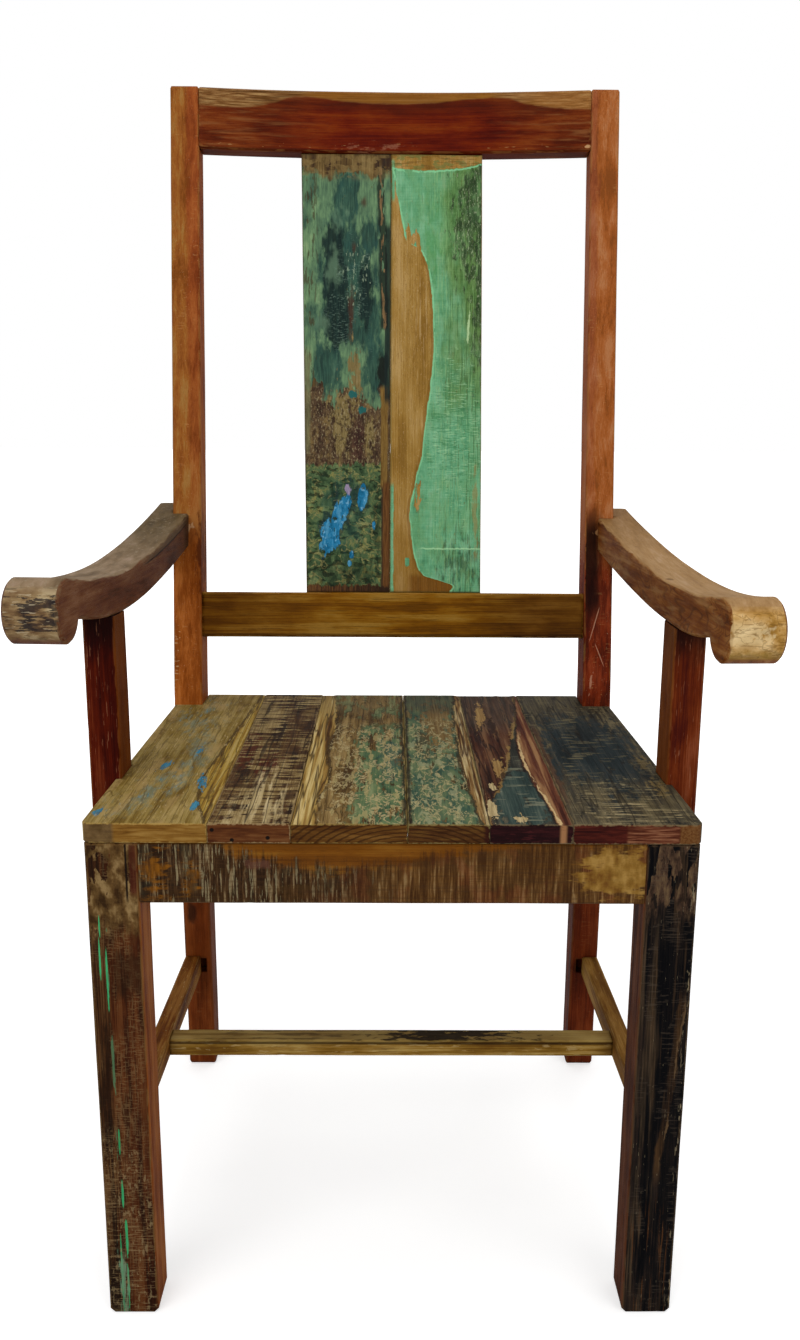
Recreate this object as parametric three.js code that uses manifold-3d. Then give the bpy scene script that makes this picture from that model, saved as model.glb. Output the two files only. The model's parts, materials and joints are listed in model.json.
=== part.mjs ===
// An upright armchair of reclaimed hardwood: square front legs, raked back posts, a splat of two boards,
// a seat of six boards, an H stretcher, and arms that swoop forward from the posts into scrolls.
// Millimetres, +Z up. The chair faces -Y, and left and right are as seen from the front, left being -X.
// It is drawn from its middle (X), from the seat's front edge (Y) and from the floor (Z), and is then moved
// so that the origin lies on the floor under the middle of its bounding box.

import * as THREE from "three";
import { mergeVertices } from "three/addons/utils/BufferGeometryUtils.js";
import Module from "manifold-3d";

const wasm = await Module();
wasm.setup();

// Fit of the joints
const jointGap = 0.3; // air between two pieces that touch
const overrun = 6; // how far a cut, a tenon's root or a scribed end runs past the face that it meets
const edgeEase = 1.6; // chamfer on the long edges of sawn pieces
const boardEase = 0.9; // finer chamfer on boards, which draws the seams between them
const weld = 0.0001; // vertices closer than this are one

// Seat
const seatHeight = 462;
const seatThickness = 17;
const seatFrontOverhang = 2; // the seat's side past the front leg's outer face
const seatRearInset = 1.5; // the seat's side inside the back post's outer face
const seatRearOverhang = 7; // the seat's rear edge past the posts' back
const seatCornerRadius = 9;
const seamShares = [-0.596, -0.328, 0.048, 0.312, 0.58]; // seams, as shares of the seat's half width

// Front legs
const legHalfSpan = 250; // chair's middle to the outer face of a front leg
const legWidth = 43;
const legDepth = 40;
const legSetback = 0.5; // the leg's front face behind the seat's front edge
const footChamfer = 4;

// Back posts, each sawn in one piece from floor to top
const postInset = 1; // the post's outer face inside that of the front leg
const postWidth = 31.5;
const postFrontAtSeat = 387; // seat's front edge to the post's front face, at the seat's top
const postFootSetback = 13; // how far the foot stands behind the front face at the seat
const postFootDepth = 34;
const postSeatDepth = 45;
const postTopDepth = 27;
const postRise = 677.5; // seat's top to the front of the post's top
const postKneeBlend = 42; // length of the curve on each side of the bend
const rakeDegrees = 9.2;

// Seat rails
const railHeight = 52;
const railThickness = 20;
const sideRailInset = 4.8; // the side rail's outer face inside that of the front leg
const rearRailSetback = 15; // the rear rail's front face behind the posts' front face
const railTenonThickness = 8;
const railTenonDrop = 8; // the tenon's edges below the rail's top and above its underside
const frontTenonLength = 20;
const sideTenonLength = 16;
const rearTenonLength = 14;

// Back frame, measured up the rake from the seat's top and back from the posts' front face
const crestHeight = 66.5;
const crestThickness = 21;
const crestBow = 9.5; // how far the middle of the crest lies behind its ends
const lowerRailRise = 78;
const lowerRailHeight = 51;
const lowerRailThickness = 22;
const lowerRailSetback = 5;
const backTenonLength = 14;
const splatSetback = 12;
const splatThickness = 12;
const splatSeam = -4; // chair's middle to the seam between the two boards, and to the splat's edges
const splatTopLeft = -105;
const splatFootLeft = -99;
const splatTopRight = 98;
const splatFootRight = 100;
const tongueLength = 8;
const tongueThickness = 6;

// Arms: heights above the seat's top, and places back from the seat's front edge
const armWidth = 44;
const armThickness = 36;
const armLap = 17.5; // how far the arm reaches inward over the front of the post
const armPivotRise = 190; // seat's top to where the arm turns about the post's front face
const armTail = 49; // from the post's front face to the arm's rear end
const armTailRadius = 8;
const armEase = 2;
const scrollRadius = 26;
const neckDegrees = 23; // where the underside meets the scroll, below the scroll's middle
const armSwoopShare = 0.38; // how far from the dip towards the rear end the swoop's tangents meet
const armScrewShare = 0.07; // where along the swoop, from the rear end, the screw goes in
const armPatterns = {
  left: {
    dipPlace: 160, dipRise: 183.5, tailRise: 223,
    scrollPlace: 5, scrollRise: 172, supportPlace: 116,
  },
  right: {
    dipPlace: 100, dipRise: 178, tailRise: 219,
    scrollPlace: -5, scrollRise: 161, supportPlace: 104,
  },
};

// Arm supports, upright on the outside of the side rails
const supportWidth = 28;
const supportDepth = 42;
const supportTenonWidth = 14;
const supportTenonDepth = 26;
const supportTenonLength = 18;

// Stretchers
const stretcherRise = 130.5; // floor to the underside of a side stretcher at its middle
const stretcherClimbDegrees = 2.3; // how steeply a side stretcher climbs towards the front leg
const stretcherHeight = 24;
const stretcherThickness = 18.5;
const stretcherTenonDrop = 3;
const openMortise = 7; // width of the slot left open beside the stretcher in each back post
const crossPlace = 200; // seat's front edge to the front of the cross stretcher
const crossHeight = 18;
const crossDepth = 22.5;
const crossStep = 2.5; // its underside above that of the side stretchers
const crossTenonLength = 10;
const crossShoulder = 3;

// Corner blocks, braces across the inner corners of the seat frame
const blockHeight = 32;
const blockThickness = 20;
const blockClearance = 2; // air between a block and the inner corner of the front leg

// Screws, and the plugs over the arm screws
const screwRadius = 2;
const screwHeadRadius = 4;
const screwHeadHeight = 2.4;
const screwTipLength = 5;
const screwCover = 6; // wood left beyond a screw's tip
const blockScrewGrip = 12; // wood between the head of a rail screw and the rail
const supportScrewSpacing = 28;
const plugRadius = 5.5;
const plugLength = 6;

// Facets of the curves
const curveSteps = 14;
const roundSteps = 16;

// Sizes that follow from those above
const rake = THREE.MathUtils.degToRad(rakeDegrees);
const neck = THREE.MathUtils.degToRad(neckDegrees);
const stretcherClimb = THREE.MathUtils.degToRad(stretcherClimbDegrees);
const seatUnderside = seatHeight - seatThickness;
const seatDepth = postFrontAtSeat + postSeatDepth + seatRearOverhang;
const postHalfSpan = legHalfSpan - postInset;
const postInner = postHalfSpan - postWidth;
const postLength = postRise / Math.cos(rake);
const legInner = legHalfSpan - legWidth;
const legBack = legSetback + legDepth;
const railTop = seatUnderside - jointGap;
const railMiddle = railTop - railHeight / 2;
const sideRailOuter = legHalfSpan - sideRailInset;
const sideRailInner = sideRailOuter - railThickness;
const frontRailBack = legSetback + railThickness;
const rearRailFront = postFrontAtSeat + rearRailSetback;
const supportInner = sideRailOuter + jointGap;
const stretcherInner = postHalfSpan - stretcherThickness;
const stretcherMiddle = stretcherRise + stretcherHeight / 2;
const lowerRailTop = lowerRailRise + lowerRailHeight;
const crestRise = postLength - crestHeight;
const armPivot = postFrontAt(seatHeight + armPivotRise);
const armInner = postHalfSpan - armLap;

// The post's front face at a height above the floor, its knee taken as sharp
function postFrontAt(height) {
  const above = height - seatHeight;
  const slope = above > 0 ? Math.tan(rake) : -postFootSetback / seatHeight;
  return postFrontAtSeat + slope * above;
}

// Finishes
const wood = (color, roughness = 0.6) => ({ color, roughness, metalness: 0 });
const woods = {
  leftLeg: wood(0x5b3a22),
  rightLeg: wood(0x24201c),
  post: wood(0x8c4a1f),
  frontRail: wood(0x7a5326),
  hiddenRail: wood(0x6d4526),
  crest: wood(0x6a2d16),
  lowerRail: wood(0x70481d),
  leftSplat: wood(0x2c4a3c),
  rightSplat: wood(0x5fa377),
  leftArm: wood(0x5f5040),
  rightArm: wood(0x8f6b45),
  support: wood(0x551c10),
  stretcher: wood(0x85652f),
  cornerBlock: wood(0x9a7444),
  plug: wood(0x7c5a3a),
};
const seatWoods = [0x8a6f3c, 0x40301f, 0x7d6134, 0x5c6240, 0x2f3a34, 0x2a322f].map((color) => wood(color));
const steel = { color: 0x8d8b84, roughness: 0.4, metalness: 1 };

// A closed geometry as a solid that can be joined and cut, and back
function solidOf(geometry) {
  const bare = geometry.clone();
  bare.deleteAttribute("normal");
  bare.deleteAttribute("uv");
  const welded = mergeVertices(bare, weld);
  const vertProperties = new Float32Array(welded.attributes.position.array);
  const triVerts = new Uint32Array(welded.index.array);
  return new wasm.Manifold(new wasm.Mesh({ numProp: 3, vertProperties, triVerts }));
}

function geometryOf(solid) {
  const { vertProperties, triVerts } = solid.getMesh();
  const geometry = new THREE.BufferGeometry();
  geometry.setAttribute("position", new THREE.BufferAttribute(vertProperties, 3));
  geometry.setIndex(new THREE.BufferAttribute(triVerts, 1));
  geometry.computeVertexNormals();
  return geometry;
}

// Outlines
function outlineOf(points) {
  return new THREE.Shape(points.map(([u, v]) => new THREE.Vector2(u, v)));
}

function easedRectangle(width, height) {
  const [u, v] = [width / 2, height / 2];
  return outlineOf([
    [edgeEase - u, -v],
    [u - edgeEase, -v],
    [u, edgeEase - v],
    [u, v - edgeEase],
    [u - edgeEase, v],
    [edgeEase - u, v],
    [-u, v - edgeEase],
    [-u, edgeEase - v],
  ]);
}

// Sweeps an outline over a depth that is centred on zero. Ease chamfers the rims of both end faces. Grow
// swells the whole solid, which makes the room that a neighbour leaves for it.
function sweep(outline, depth, { ease = 0, grow = 0 } = {}) {
  const straight = depth - 2 * ease + 2 * grow;
  const swept = new THREE.ExtrudeGeometry(outline, {
    depth: straight,
    curveSegments: curveSteps,
    bevelEnabled: true,
    bevelSegments: ease > 0 ? 1 : 0,
    bevelThickness: ease,
    bevelSize: ease,
    bevelOffset: grow - ease,
  });
  return swept.translate(0, 0, -straight / 2);
}

// The same, turned: an outline in Y and Z swept along X, or one in X and Z swept along Y
const [axisX, axisY, axisZ] = [[1, 0, 0], [0, 1, 0], [0, 0, 1]].map((axis) => new THREE.Vector3(...axis));
const ontoX = new THREE.Matrix4().makeBasis(axisY, axisZ, axisX);
const ontoY = new THREE.Matrix4().makeBasis(axisX, axisZ, axisY.clone().negate());
const sweepAlongX = (outline, depth, form) => sweep(outline, depth, form).applyMatrix4(ontoX);
const sweepAlongY = (outline, depth, form) => sweep(outline, depth, form).applyMatrix4(ontoY);

// A piece of the chair. Its tenons are joined to its body after the body has been cut to fit, and its rooms
// are what its neighbours are cut by. Both are drawn in the piece's own coordinates.
function piece(name, finish, geometry, { tenons = [], rooms = [] } = {}) {
  const mesh = new THREE.Mesh(geometry, new THREE.MeshStandardMaterial(finish));
  mesh.name = name;
  mesh.userData = { tenons, rooms };
  return mesh;
}

function placed(object, x, y, z) {
  object.position.set(x, y, z);
  return object;
}

// Tenons on both ends of a bar that lies along X, and the mortises that take them. The roots run back into
// the bar, and each tenon stops one gap short of the end of its mortise.
function endTenons(halfLength, tenonLength, thickness, height) {
  const onBothEnds = (reach, grow) =>
    [-1, 1].map((end) => {
      const box = new THREE.BoxGeometry(reach + overrun, thickness + 2 * grow, height + 2 * grow);
      return box.translate(end * (halfLength + (reach - overrun) / 2), 0, 0);
    });
  return { tenons: onBothEnds(tenonLength - jointGap, 0), rooms: onBothEnds(tenonLength, jointGap) };
}

// A bar along X between two shoulders. Where its far end meets a slanting face it is drawn longer, and is
// scribed to that face when it is fitted.
function bar(name, finish, length, [thickness, height], joints, scribed = 0) {
  const body = sweepAlongX(easedRectangle(thickness, height), length + scribed);
  body.translate(scribed / 2, 0, 0);
  return piece(name, finish, body, joints);
}

// Front leg: a square section with a chamfered foot
function frontLeg(name, side, finish) {
  const half = legWidth / 2;
  const outline = outlineOf([
    [footChamfer - half, 0],
    [half - footChamfer, 0],
    [half, footChamfer],
    [half, railTop],
    [-half, railTop],
    [-half, footChamfer],
  ]);
  const leg = piece(`${name}_front_leg`, finish, sweepAlongY(outline, legDepth, { ease: edgeEase }));
  return placed(leg, side * (legHalfSpan - half), legSetback + legDepth / 2, 0);
}

// Side view of a back post, drawn from its front face at the seat: nearly upright below, raked above, with a
// soft knee on both faces and its top cut square to the rake
function postOutline() {
  const point = (y, z) => new THREE.Vector2(y, z);
  const footFront = point(postFootSetback, 0);
  const footBack = point(postFootSetback + postFootDepth, 0);
  const kneeFront = point(0, seatHeight);
  const kneeBack = point(postSeatDepth, seatHeight);
  const topFront = point(postRise * Math.tan(rake), seatHeight + postRise);
  const topBack = point(postTopDepth * Math.cos(rake), -postTopDepth * Math.sin(rake)).add(topFront);
  const along = (from, to, distance) => to.clone().sub(from).setLength(distance).add(from);
  const outline = new THREE.Shape();
  const bend = (from, knee, to) => {
    outline.lineTo(...along(knee, from, postKneeBlend));
    outline.quadraticCurveTo(...knee, ...along(knee, to, postKneeBlend));
  };
  outline.moveTo(...along(footBack, footFront, footChamfer));
  outline.lineTo(...along(footBack, kneeBack, footChamfer));
  bend(footBack, kneeBack, topBack);
  outline.lineTo(...topBack);
  outline.lineTo(...topFront);
  bend(topFront, kneeFront, footFront);
  outline.lineTo(...along(footFront, kneeFront, footChamfer));
  outline.lineTo(...along(footFront, footBack, footChamfer));
  return outline;
}

// The post's room is open to the rear, so what is notched round the post slides on from the front
function backPost(name, side) {
  const outline = postOutline();
  const room = sweepAlongX(outline, postWidth, { grow: jointGap });
  const openRear = room.clone().translate(0, postTopDepth, 0);
  const body = sweepAlongX(outline, postWidth, { ease: edgeEase });
  const post = piece(`${name}_back_post`, woods.post, body, { rooms: [room, openRear] });
  return placed(post, side * (postHalfSpan - postWidth / 2), postFrontAtSeat, 0);
}

// Front and rear seat rails
function crossRail(name, finish, halfSpan, tenonLength, front) {
  const half = halfSpan - jointGap;
  const joints = endTenons(half, tenonLength, railTenonThickness, railHeight - 2 * railTenonDrop);
  const rail = bar(name, finish, 2 * half, [railThickness, railHeight], joints);
  return placed(rail, 0, front + railThickness / 2, railMiddle);
}

// Half the length between the shoulders of a bar that runs from the front leg to the back post
function sideHalfLength(height) {
  return (postFrontAt(height) - legBack) / 2 - jointGap;
}

// Side seat rail, turned so that its far end is the rear one
function sideRail(name, side) {
  const half = sideHalfLength(railMiddle);
  const joints = endTenons(half, sideTenonLength, railTenonThickness, railHeight - 2 * railTenonDrop);
  const section = [railThickness, railHeight];
  const rail = bar(`${name}_seat_rail`, woods.hiddenRail, 2 * half, section, joints, overrun);
  rail.rotation.z = Math.PI / 2;
  return placed(rail, side * (sideRailInner + railThickness / 2), legBack + jointGap + half, railMiddle);
}

// Side stretcher, which climbs towards the front leg between upright shoulders and level tenons. The mortise
// in the back post was cut wider than the tenon and shows as a slot beside it.
function sideStretcher(name, side) {
  const half = sideHalfLength(stretcherMiddle);
  const tenonHeight = stretcherHeight - 2 * stretcherTenonDrop;
  const joints = endTenons(half, sideTenonLength, railTenonThickness, tenonHeight);
  const slotWidth = stretcherThickness / 2 + openMortise;
  const slot = new THREE.BoxGeometry(sideTenonLength + overrun, slotWidth, tenonHeight + 2 * jointGap);
  slot.translate(half + (sideTenonLength - overrun) / 2, (side * slotWidth) / 2, 0);
  const middleAt = (place) => -place * Math.tan(stretcherClimb);
  const ends = [-half, half];
  for (const boxes of [joints.tenons, joints.rooms])
    boxes.forEach((box, i) => box.translate(0, 0, middleAt(ends[i])));
  joints.rooms.push(slot.translate(0, 0, middleAt(half)));
  const far = half + overrun;
  const [drop, rise] = [-stretcherHeight / 2, stretcherHeight / 2];
  const outline = outlineOf([
    [-half, middleAt(-half) + drop],
    [far, middleAt(far) + drop],
    [far, middleAt(far) + rise],
    [-half, middleAt(-half) + rise],
  ]);
  const body = sweepAlongY(outline, stretcherThickness, { ease: edgeEase });
  const stretcher = piece(`${name}_side_stretcher`, woods.stretcher, body, joints);
  stretcher.rotation.z = Math.PI / 2;
  const across = side * (stretcherInner + stretcherThickness / 2);
  return placed(stretcher, across, legBack + jointGap + half, stretcherMiddle);
}

function crossStretcher() {
  const half = stretcherInner - jointGap;
  const [tenonDepth, tenonHeight] = [crossDepth, crossHeight].map((size) => size - 2 * crossShoulder);
  const joints = endTenons(half, crossTenonLength, tenonDepth, tenonHeight);
  const rail = bar("cross_stretcher", woods.stretcher, 2 * half, [crossDepth, crossHeight], joints);
  return placed(rail, 0, crossPlace + crossDepth / 2, stretcherRise + crossStep + crossHeight / 2);
}

// One of the seat's boards, which run from front to back. The sides of the seat draw in towards the rear,
// and its front corners are round.
function seatBoard(index) {
  const frontHalf = legHalfSpan + seatFrontOverhang;
  const rearHalf = postHalfSpan - seatRearInset;
  const seams = seamShares.map((share) => share * frontHalf);
  const outline = new THREE.Shape();
  const outer = index === 0 ? -1 : index === seams.length ? 1 : 0;
  if (outer === 0) {
    const [from, to] = [seams[index - 1] + jointGap / 2, seams[index] - jointGap / 2];
    outline.moveTo(from, 0);
    outline.lineTo(to, 0);
    outline.lineTo(to, seatDepth);
    outline.lineTo(from, seatDepth);
  } else {
    const seam = outer * (outer * seams.at(outer < 0 ? 0 : -1) + jointGap / 2);
    outline.moveTo(seam, 0);
    outline.lineTo(outer * (frontHalf - seatCornerRadius), 0);
    outline.quadraticCurveTo(outer * frontHalf, 0, outer * frontHalf, seatCornerRadius);
    outline.lineTo(outer * rearHalf, seatDepth);
    outline.lineTo(seam, seatDepth);
  }
  const body = sweep(outline, seatThickness, { ease: boardEase });
  const board = piece(`seat_board_${index + 1}`, seatWoods[index], body);
  return placed(board, 0, 0, seatUnderside + seatThickness / 2);
}

// Crest rail: bowed back in plan, with straight tenons
function crestRail() {
  const half = postInner - jointGap;
  const outline = new THREE.Shape();
  outline.moveTo(-half, 0);
  outline.quadraticCurveTo(0, 2 * crestBow, half, 0);
  outline.lineTo(half, crestThickness);
  outline.quadraticCurveTo(0, 2 * crestBow + crestThickness, -half, crestThickness);
  const joints = endTenons(half, backTenonLength, railTenonThickness, crestHeight - 2 * railTenonDrop);
  for (const geometry of [...joints.tenons, ...joints.rooms]) geometry.translate(0, crestThickness / 2, 0);
  const crest = piece("crest_rail", woods.crest, sweep(outline, crestHeight, { ease: edgeEase }), joints);
  return placed(crest, 0, 0, crestRise + crestHeight / 2);
}

function lowerBackRail() {
  const half = postInner - jointGap;
  const joints = endTenons(half, backTenonLength, railTenonThickness, lowerRailHeight - 2 * railTenonDrop);
  const section = [lowerRailThickness, lowerRailHeight];
  const rail = bar("lower_back_rail", woods.lowerRail, 2 * half, section, joints);
  return placed(rail, 0, lowerRailSetback + lowerRailThickness / 2, lowerRailRise + lowerRailHeight / 2);
}

// One board of the splat, from the seam to its outer edge, tongued into the rails over its whole width
function splatBoard(name, finish, side, foot, top) {
  const rise = crestRise - lowerRailTop - 2 * jointGap;
  const seam = splatSeam + (side * jointGap) / 2;
  const reach = tongueLength - jointGap;
  const board = outlineOf([[seam, 0], [foot, 0], [top, rise], [seam, rise]]);
  const tongue = outlineOf([[seam, -reach], [foot, -reach], [top, rise + reach], [seam, rise + reach]]);
  const body = sweepAlongY(board, splatThickness, { ease: boardEase });
  const tenons = [sweepAlongY(tongue, tongueThickness)];
  const rooms = [sweepAlongY(tongue, tongueThickness, { grow: jointGap })];
  const splat = piece(`${name}_splat_board`, finish, body, { tenons, rooms });
  return placed(splat, 0, splatSetback + splatThickness / 2, lowerRailTop + jointGap);
}

// The back's rails and splat share one frame, which leans with the posts
function backFrame() {
  const back = new THREE.Group();
  back.add(crestRail(), lowerBackRail());
  back.add(splatBoard("left", woods.leftSplat, -1, splatFootLeft, splatTopLeft));
  back.add(splatBoard("right", woods.rightSplat, 1, splatFootRight, splatTopRight));
  back.rotation.x = -rake;
  return placed(back, 0, postFrontAtSeat, seatHeight);
}

// Side view of an arm, drawn from the pivot and from the floor. The top falls from the rear end to a dip and
// climbs to the scroll, and the underside follows it one thickness lower. The scroll turns forward, down and
// back under itself to the neck.
function armOutline({ dipPlace, dipRise, tailRise, scrollPlace, scrollRise }) {
  const dip = dipPlace - armPivot;
  const bend = THREE.MathUtils.lerp(dip, armTail, armSwoopShare);
  const [top, under] = [seatHeight + dipRise, seatHeight + dipRise - armThickness];
  const [tailTop, tailUnder] = [seatHeight + tailRise, seatHeight + tailRise - armThickness];
  const centre = new THREE.Vector2(scrollPlace - armPivot, seatHeight + scrollRise);
  const climb = Math.atan2(2 * (centre.y + scrollRadius - top), dip - centre.x);
  const onScroll = (angle) => centre.clone().add({ x: scrollRadius, y: 0 }).rotateAround(centre, angle);
  const crown = onScroll(Math.PI / 2 - climb);
  const throat = onScroll(-neck);
  const outline = new THREE.Shape();
  outline.moveTo(armTail, tailUnder);
  outline.lineTo(armTail, tailTop);
  outline.quadraticCurveTo(bend, top, dip, top);
  outline.quadraticCurveTo((crown.x + dip) / 2, top, ...crown);
  outline.absarc(...centre, scrollRadius, Math.PI / 2 - climb, 2 * Math.PI - neck);
  outline.quadraticCurveTo((throat.x + dip) / 2, under, dip, under);
  outline.quadraticCurveTo(bend, under, armTail, tailUnder);
  return outline;
}

// The middle line of the arm's swoop, from the rear end to the dip
function armSwoop({ dipPlace, dipRise, tailRise }) {
  const point = (y, rise) => new THREE.Vector2(y, seatHeight + rise - armThickness / 2);
  const dip = dipPlace - armPivot;
  const bend = THREE.MathUtils.lerp(dip, armTail, armSwoopShare);
  return new THREE.QuadraticBezierCurve(point(armTail, tailRise), point(bend, dipRise), point(dip, dipRise));
}

// The arm's plan, which rounds the outer corner of the rear end
function armPlan(side, front) {
  const outer = (side * armWidth) / 2;
  const plan = new THREE.Shape();
  plan.moveTo(-outer - side * overrun, front);
  plan.lineTo(outer + side * overrun, front);
  plan.lineTo(outer + side * overrun, armTail - armTailRadius);
  plan.lineTo(outer, armTail - armTailRadius);
  plan.quadraticCurveTo(outer, armTail, outer - side * armTailRadius, armTail);
  plan.lineTo(outer - side * armTailRadius, armTail + overrun);
  plan.lineTo(-outer - side * overrun, armTail + overrun);
  return plan;
}

// An arm with its screw and plug. The group stands at the front of the post and is turned outward, so that
// the arm's inner face meets that of its support. The screw goes in from the outer face.
function armGroup(name, side, finish) {
  const pattern = armPatterns[name];
  const outline = armOutline(pattern);
  const outer = (side * armWidth) / 2;
  const front = pattern.scrollPlace - armPivot - scrollRadius - overrun;
  const blank = solidOf(sweepAlongX(outline, armWidth, { ease: armEase }));
  const plan = solidOf(sweep(armPlan(side, front), 2 * (seatHeight + pattern.tailRise + overrun)));
  const rooms = [sweepAlongX(outline, armWidth + 2 * overrun, { grow: jointGap })];
  const arm = piece(`${name}_arm`, finish, geometryOf(blank.intersect(plan)), { rooms });

  const screwLength = armWidth - armLap - plugLength + postWidth - screwCover;
  const fixing = screw(`${name}_arm_screw`, screwLength, axisX.clone().multiplyScalar(-side));
  const plug = armPlug(`${name}_arm_plug`);
  const [behind, height] = armSwoop(pattern).getPoint(armScrewShare);
  placed(fixing, outer - side * (plugLength + jointGap), behind, height);
  placed(plug, outer - (side * plugLength) / 2, behind, height);

  const group = new THREE.Group();
  group.add(arm, fixing, plug);
  const supportMiddle = pattern.supportPlace + supportDepth / 2;
  group.rotation.z = side * Math.atan2(supportInner - armInner, armPivot - supportMiddle);
  return placed(group, side * (armInner + armWidth / 2), armPivot, 0);
}

function armPlug(name) {
  const cylinder = (radius, length) => new THREE.CylinderGeometry(radius, radius, length, roundSteps);
  const body = cylinder(plugRadius, plugLength).rotateZ(Math.PI / 2);
  const room = cylinder(plugRadius + jointGap, plugLength + 2 * jointGap).rotateZ(Math.PI / 2);
  return piece(name, woods.plug, body, { rooms: [room] });
}

// Arm support with its two screws: a plain upright, scribed to the arm's underside and tenoned into it. It
// stands in a shallow notch of the seat and is screwed to the side rail from inside.
function supportGroup(name, side) {
  const { dipRise, supportPlace } = armPatterns[name];
  const half = supportWidth / 2;
  const foot = railTop - railHeight;
  const armUnderside = seatHeight + dipRise - armThickness;
  const upTo = (top) => outlineOf([[-half, foot], [half, foot], [half, top], [-half, top]]);
  const body = sweepAlongY(upTo(armUnderside + armThickness / 2), supportDepth, { ease: edgeEase });
  const notch = sweepAlongY(upTo(seatHeight), supportDepth, { grow: jointGap });
  const tenonSizes = [supportTenonWidth, supportTenonDepth, 2 * supportTenonLength];
  const tenonOf = (grow) => {
    const [width, depth, height] = tenonSizes.map((size) => size + 2 * grow);
    return new THREE.BoxGeometry(width, depth, height).translate(0, 0, armUnderside);
  };
  const joints = { tenons: [tenonOf(0)], rooms: [tenonOf(jointGap), notch] };
  const group = new THREE.Group();
  group.add(piece(`${name}_arm_support`, woods.support, body, joints));

  const screwLength = railThickness + supportWidth - screwCover;
  const outward = axisX.clone().multiplyScalar(side);
  [-1, 1].forEach((end, i) => {
    const fixing = screw(`${name}_support_screw_${i + 1}`, screwLength, outward);
    const height = railMiddle + (end * supportScrewSpacing) / 2;
    group.add(placed(fixing, side * (sideRailInner - supportInner - half), 0, height));
  });
  return placed(group, side * (supportInner + half), supportPlace + supportDepth / 2, 0);
}

// A countersunk screw, driven from its head along a direction. Its room includes the way in for the driver.
function screw(name, length, direction, wayIn = 0) {
  const formOf = (grow) => {
    const shank = screwRadius + grow;
    const profile = [
      [0, -length - grow],
      [shank, screwTipLength - length - grow],
      [shank, -screwHeadHeight],
      [screwHeadRadius + grow, 0],
      [0, 0],
    ];
    const turned = new THREE.LatheGeometry(profile.map(([r, h]) => new THREE.Vector2(r, h)), roundSteps);
    return turned.rotateX(Math.PI / 2);
  };
  const pocketRadius = screwHeadRadius + jointGap;
  const pocket = new THREE.CylinderGeometry(pocketRadius, pocketRadius, wayIn + overrun, roundSteps);
  pocket.rotateX(Math.PI / 2).translate(0, 0, (wayIn + overrun) / 2 - jointGap);
  const fixing = piece(name, steel, formOf(0), { rooms: [formOf(jointGap), pocket] });
  fixing.quaternion.setFromUnitVectors(axisZ.clone().negate(), direction);
  return fixing;
}

// A corner block with its three screws. The group stands where the inner faces of two rails meet, its own X
// and Y running along them, and the brace crosses the corner clear of the front leg.
function cornerGroup(name, x, y, quarterTurns) {
  const legCorner = sideRailInner - legInner + (legBack - frontRailBack);
  const near = legCorner + blockClearance;
  const far = near + blockThickness * Math.SQRT2;
  const outline = outlineOf([[near, jointGap], [far, jointGap], [jointGap, far], [jointGap, near]]);
  const body = sweep(outline, blockHeight, { ease: boardEase });

  const railScrewLength = blockScrewGrip + railThickness - screwCover;
  const railPlace = near + screwHeadRadius + blockThickness / 4;
  const seatScrewLength = blockHeight + seatThickness - screwCover;
  const seatPlace = (near + far) / 4;
  const first = screw(`${name}_rail_screw_1`, railScrewLength, axisX.clone().negate(), far);
  const second = screw(`${name}_rail_screw_2`, railScrewLength, axisY.clone().negate(), far);
  const upward = screw(`${name}_seat_screw`, seatScrewLength, axisZ);
  const group = new THREE.Group();
  group.add(piece(`${name}_corner_block`, woods.cornerBlock, body));
  group.add(placed(first, blockScrewGrip, railPlace, 0));
  group.add(placed(second, railPlace, blockScrewGrip, 0));
  group.add(placed(upward, seatPlace, seatPlace, -blockHeight / 2));
  group.rotation.z = (quarterTurns * Math.PI) / 2;
  return placed(group, x, y, railTop - blockHeight / 2);
}

// Cuts a piece to fit its neighbours, wherever each stands in the chair, and then joins its own tenons to it
function fit(chair, name, ...neighbours) {
  const part = chair.getObjectByName(name);
  const toPart = part.matrixWorld.clone().invert();
  let solid = solidOf(part.geometry);
  for (const neighbour of neighbours.map((other) => chair.getObjectByName(other))) {
    const move = toPart.clone().multiply(neighbour.matrixWorld);
    for (const room of neighbour.userData.rooms)
      solid = solid.subtract(solidOf(room.clone().applyMatrix4(move)));
  }
  for (const tenon of part.userData.tenons) solid = solid.add(solidOf(tenon));
  part.geometry = geometryOf(solid);
}

// The whole chair
const frame = new THREE.Group();
const sides = [["left", -1, woods.leftLeg, woods.leftArm], ["right", 1, woods.rightLeg, woods.rightArm]];
for (const [name, side, legFinish, armFinish] of sides) {
  frame.add(frontLeg(name, side, legFinish), backPost(name, side));
  frame.add(sideRail(name, side), sideStretcher(name, side));
  frame.add(armGroup(name, side, armFinish), supportGroup(name, side));
}
frame.add(crossRail("front_seat_rail", woods.frontRail, legInner, frontTenonLength, legSetback));
frame.add(crossRail("rear_seat_rail", woods.hiddenRail, postInner, rearTenonLength, rearRailFront));
seatWoods.forEach((_, index) => frame.add(seatBoard(index)));
frame.add(crossStretcher(), backFrame());
frame.add(cornerGroup("front_left", -sideRailInner, frontRailBack, 0));
frame.add(cornerGroup("front_right", sideRailInner, frontRailBack, 1));
frame.add(cornerGroup("rear_right", sideRailInner, rearRailFront, 2));
frame.add(cornerGroup("rear_left", -sideRailInner, rearRailFront, 3));
frame.updateMatrixWorld(true);

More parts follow.
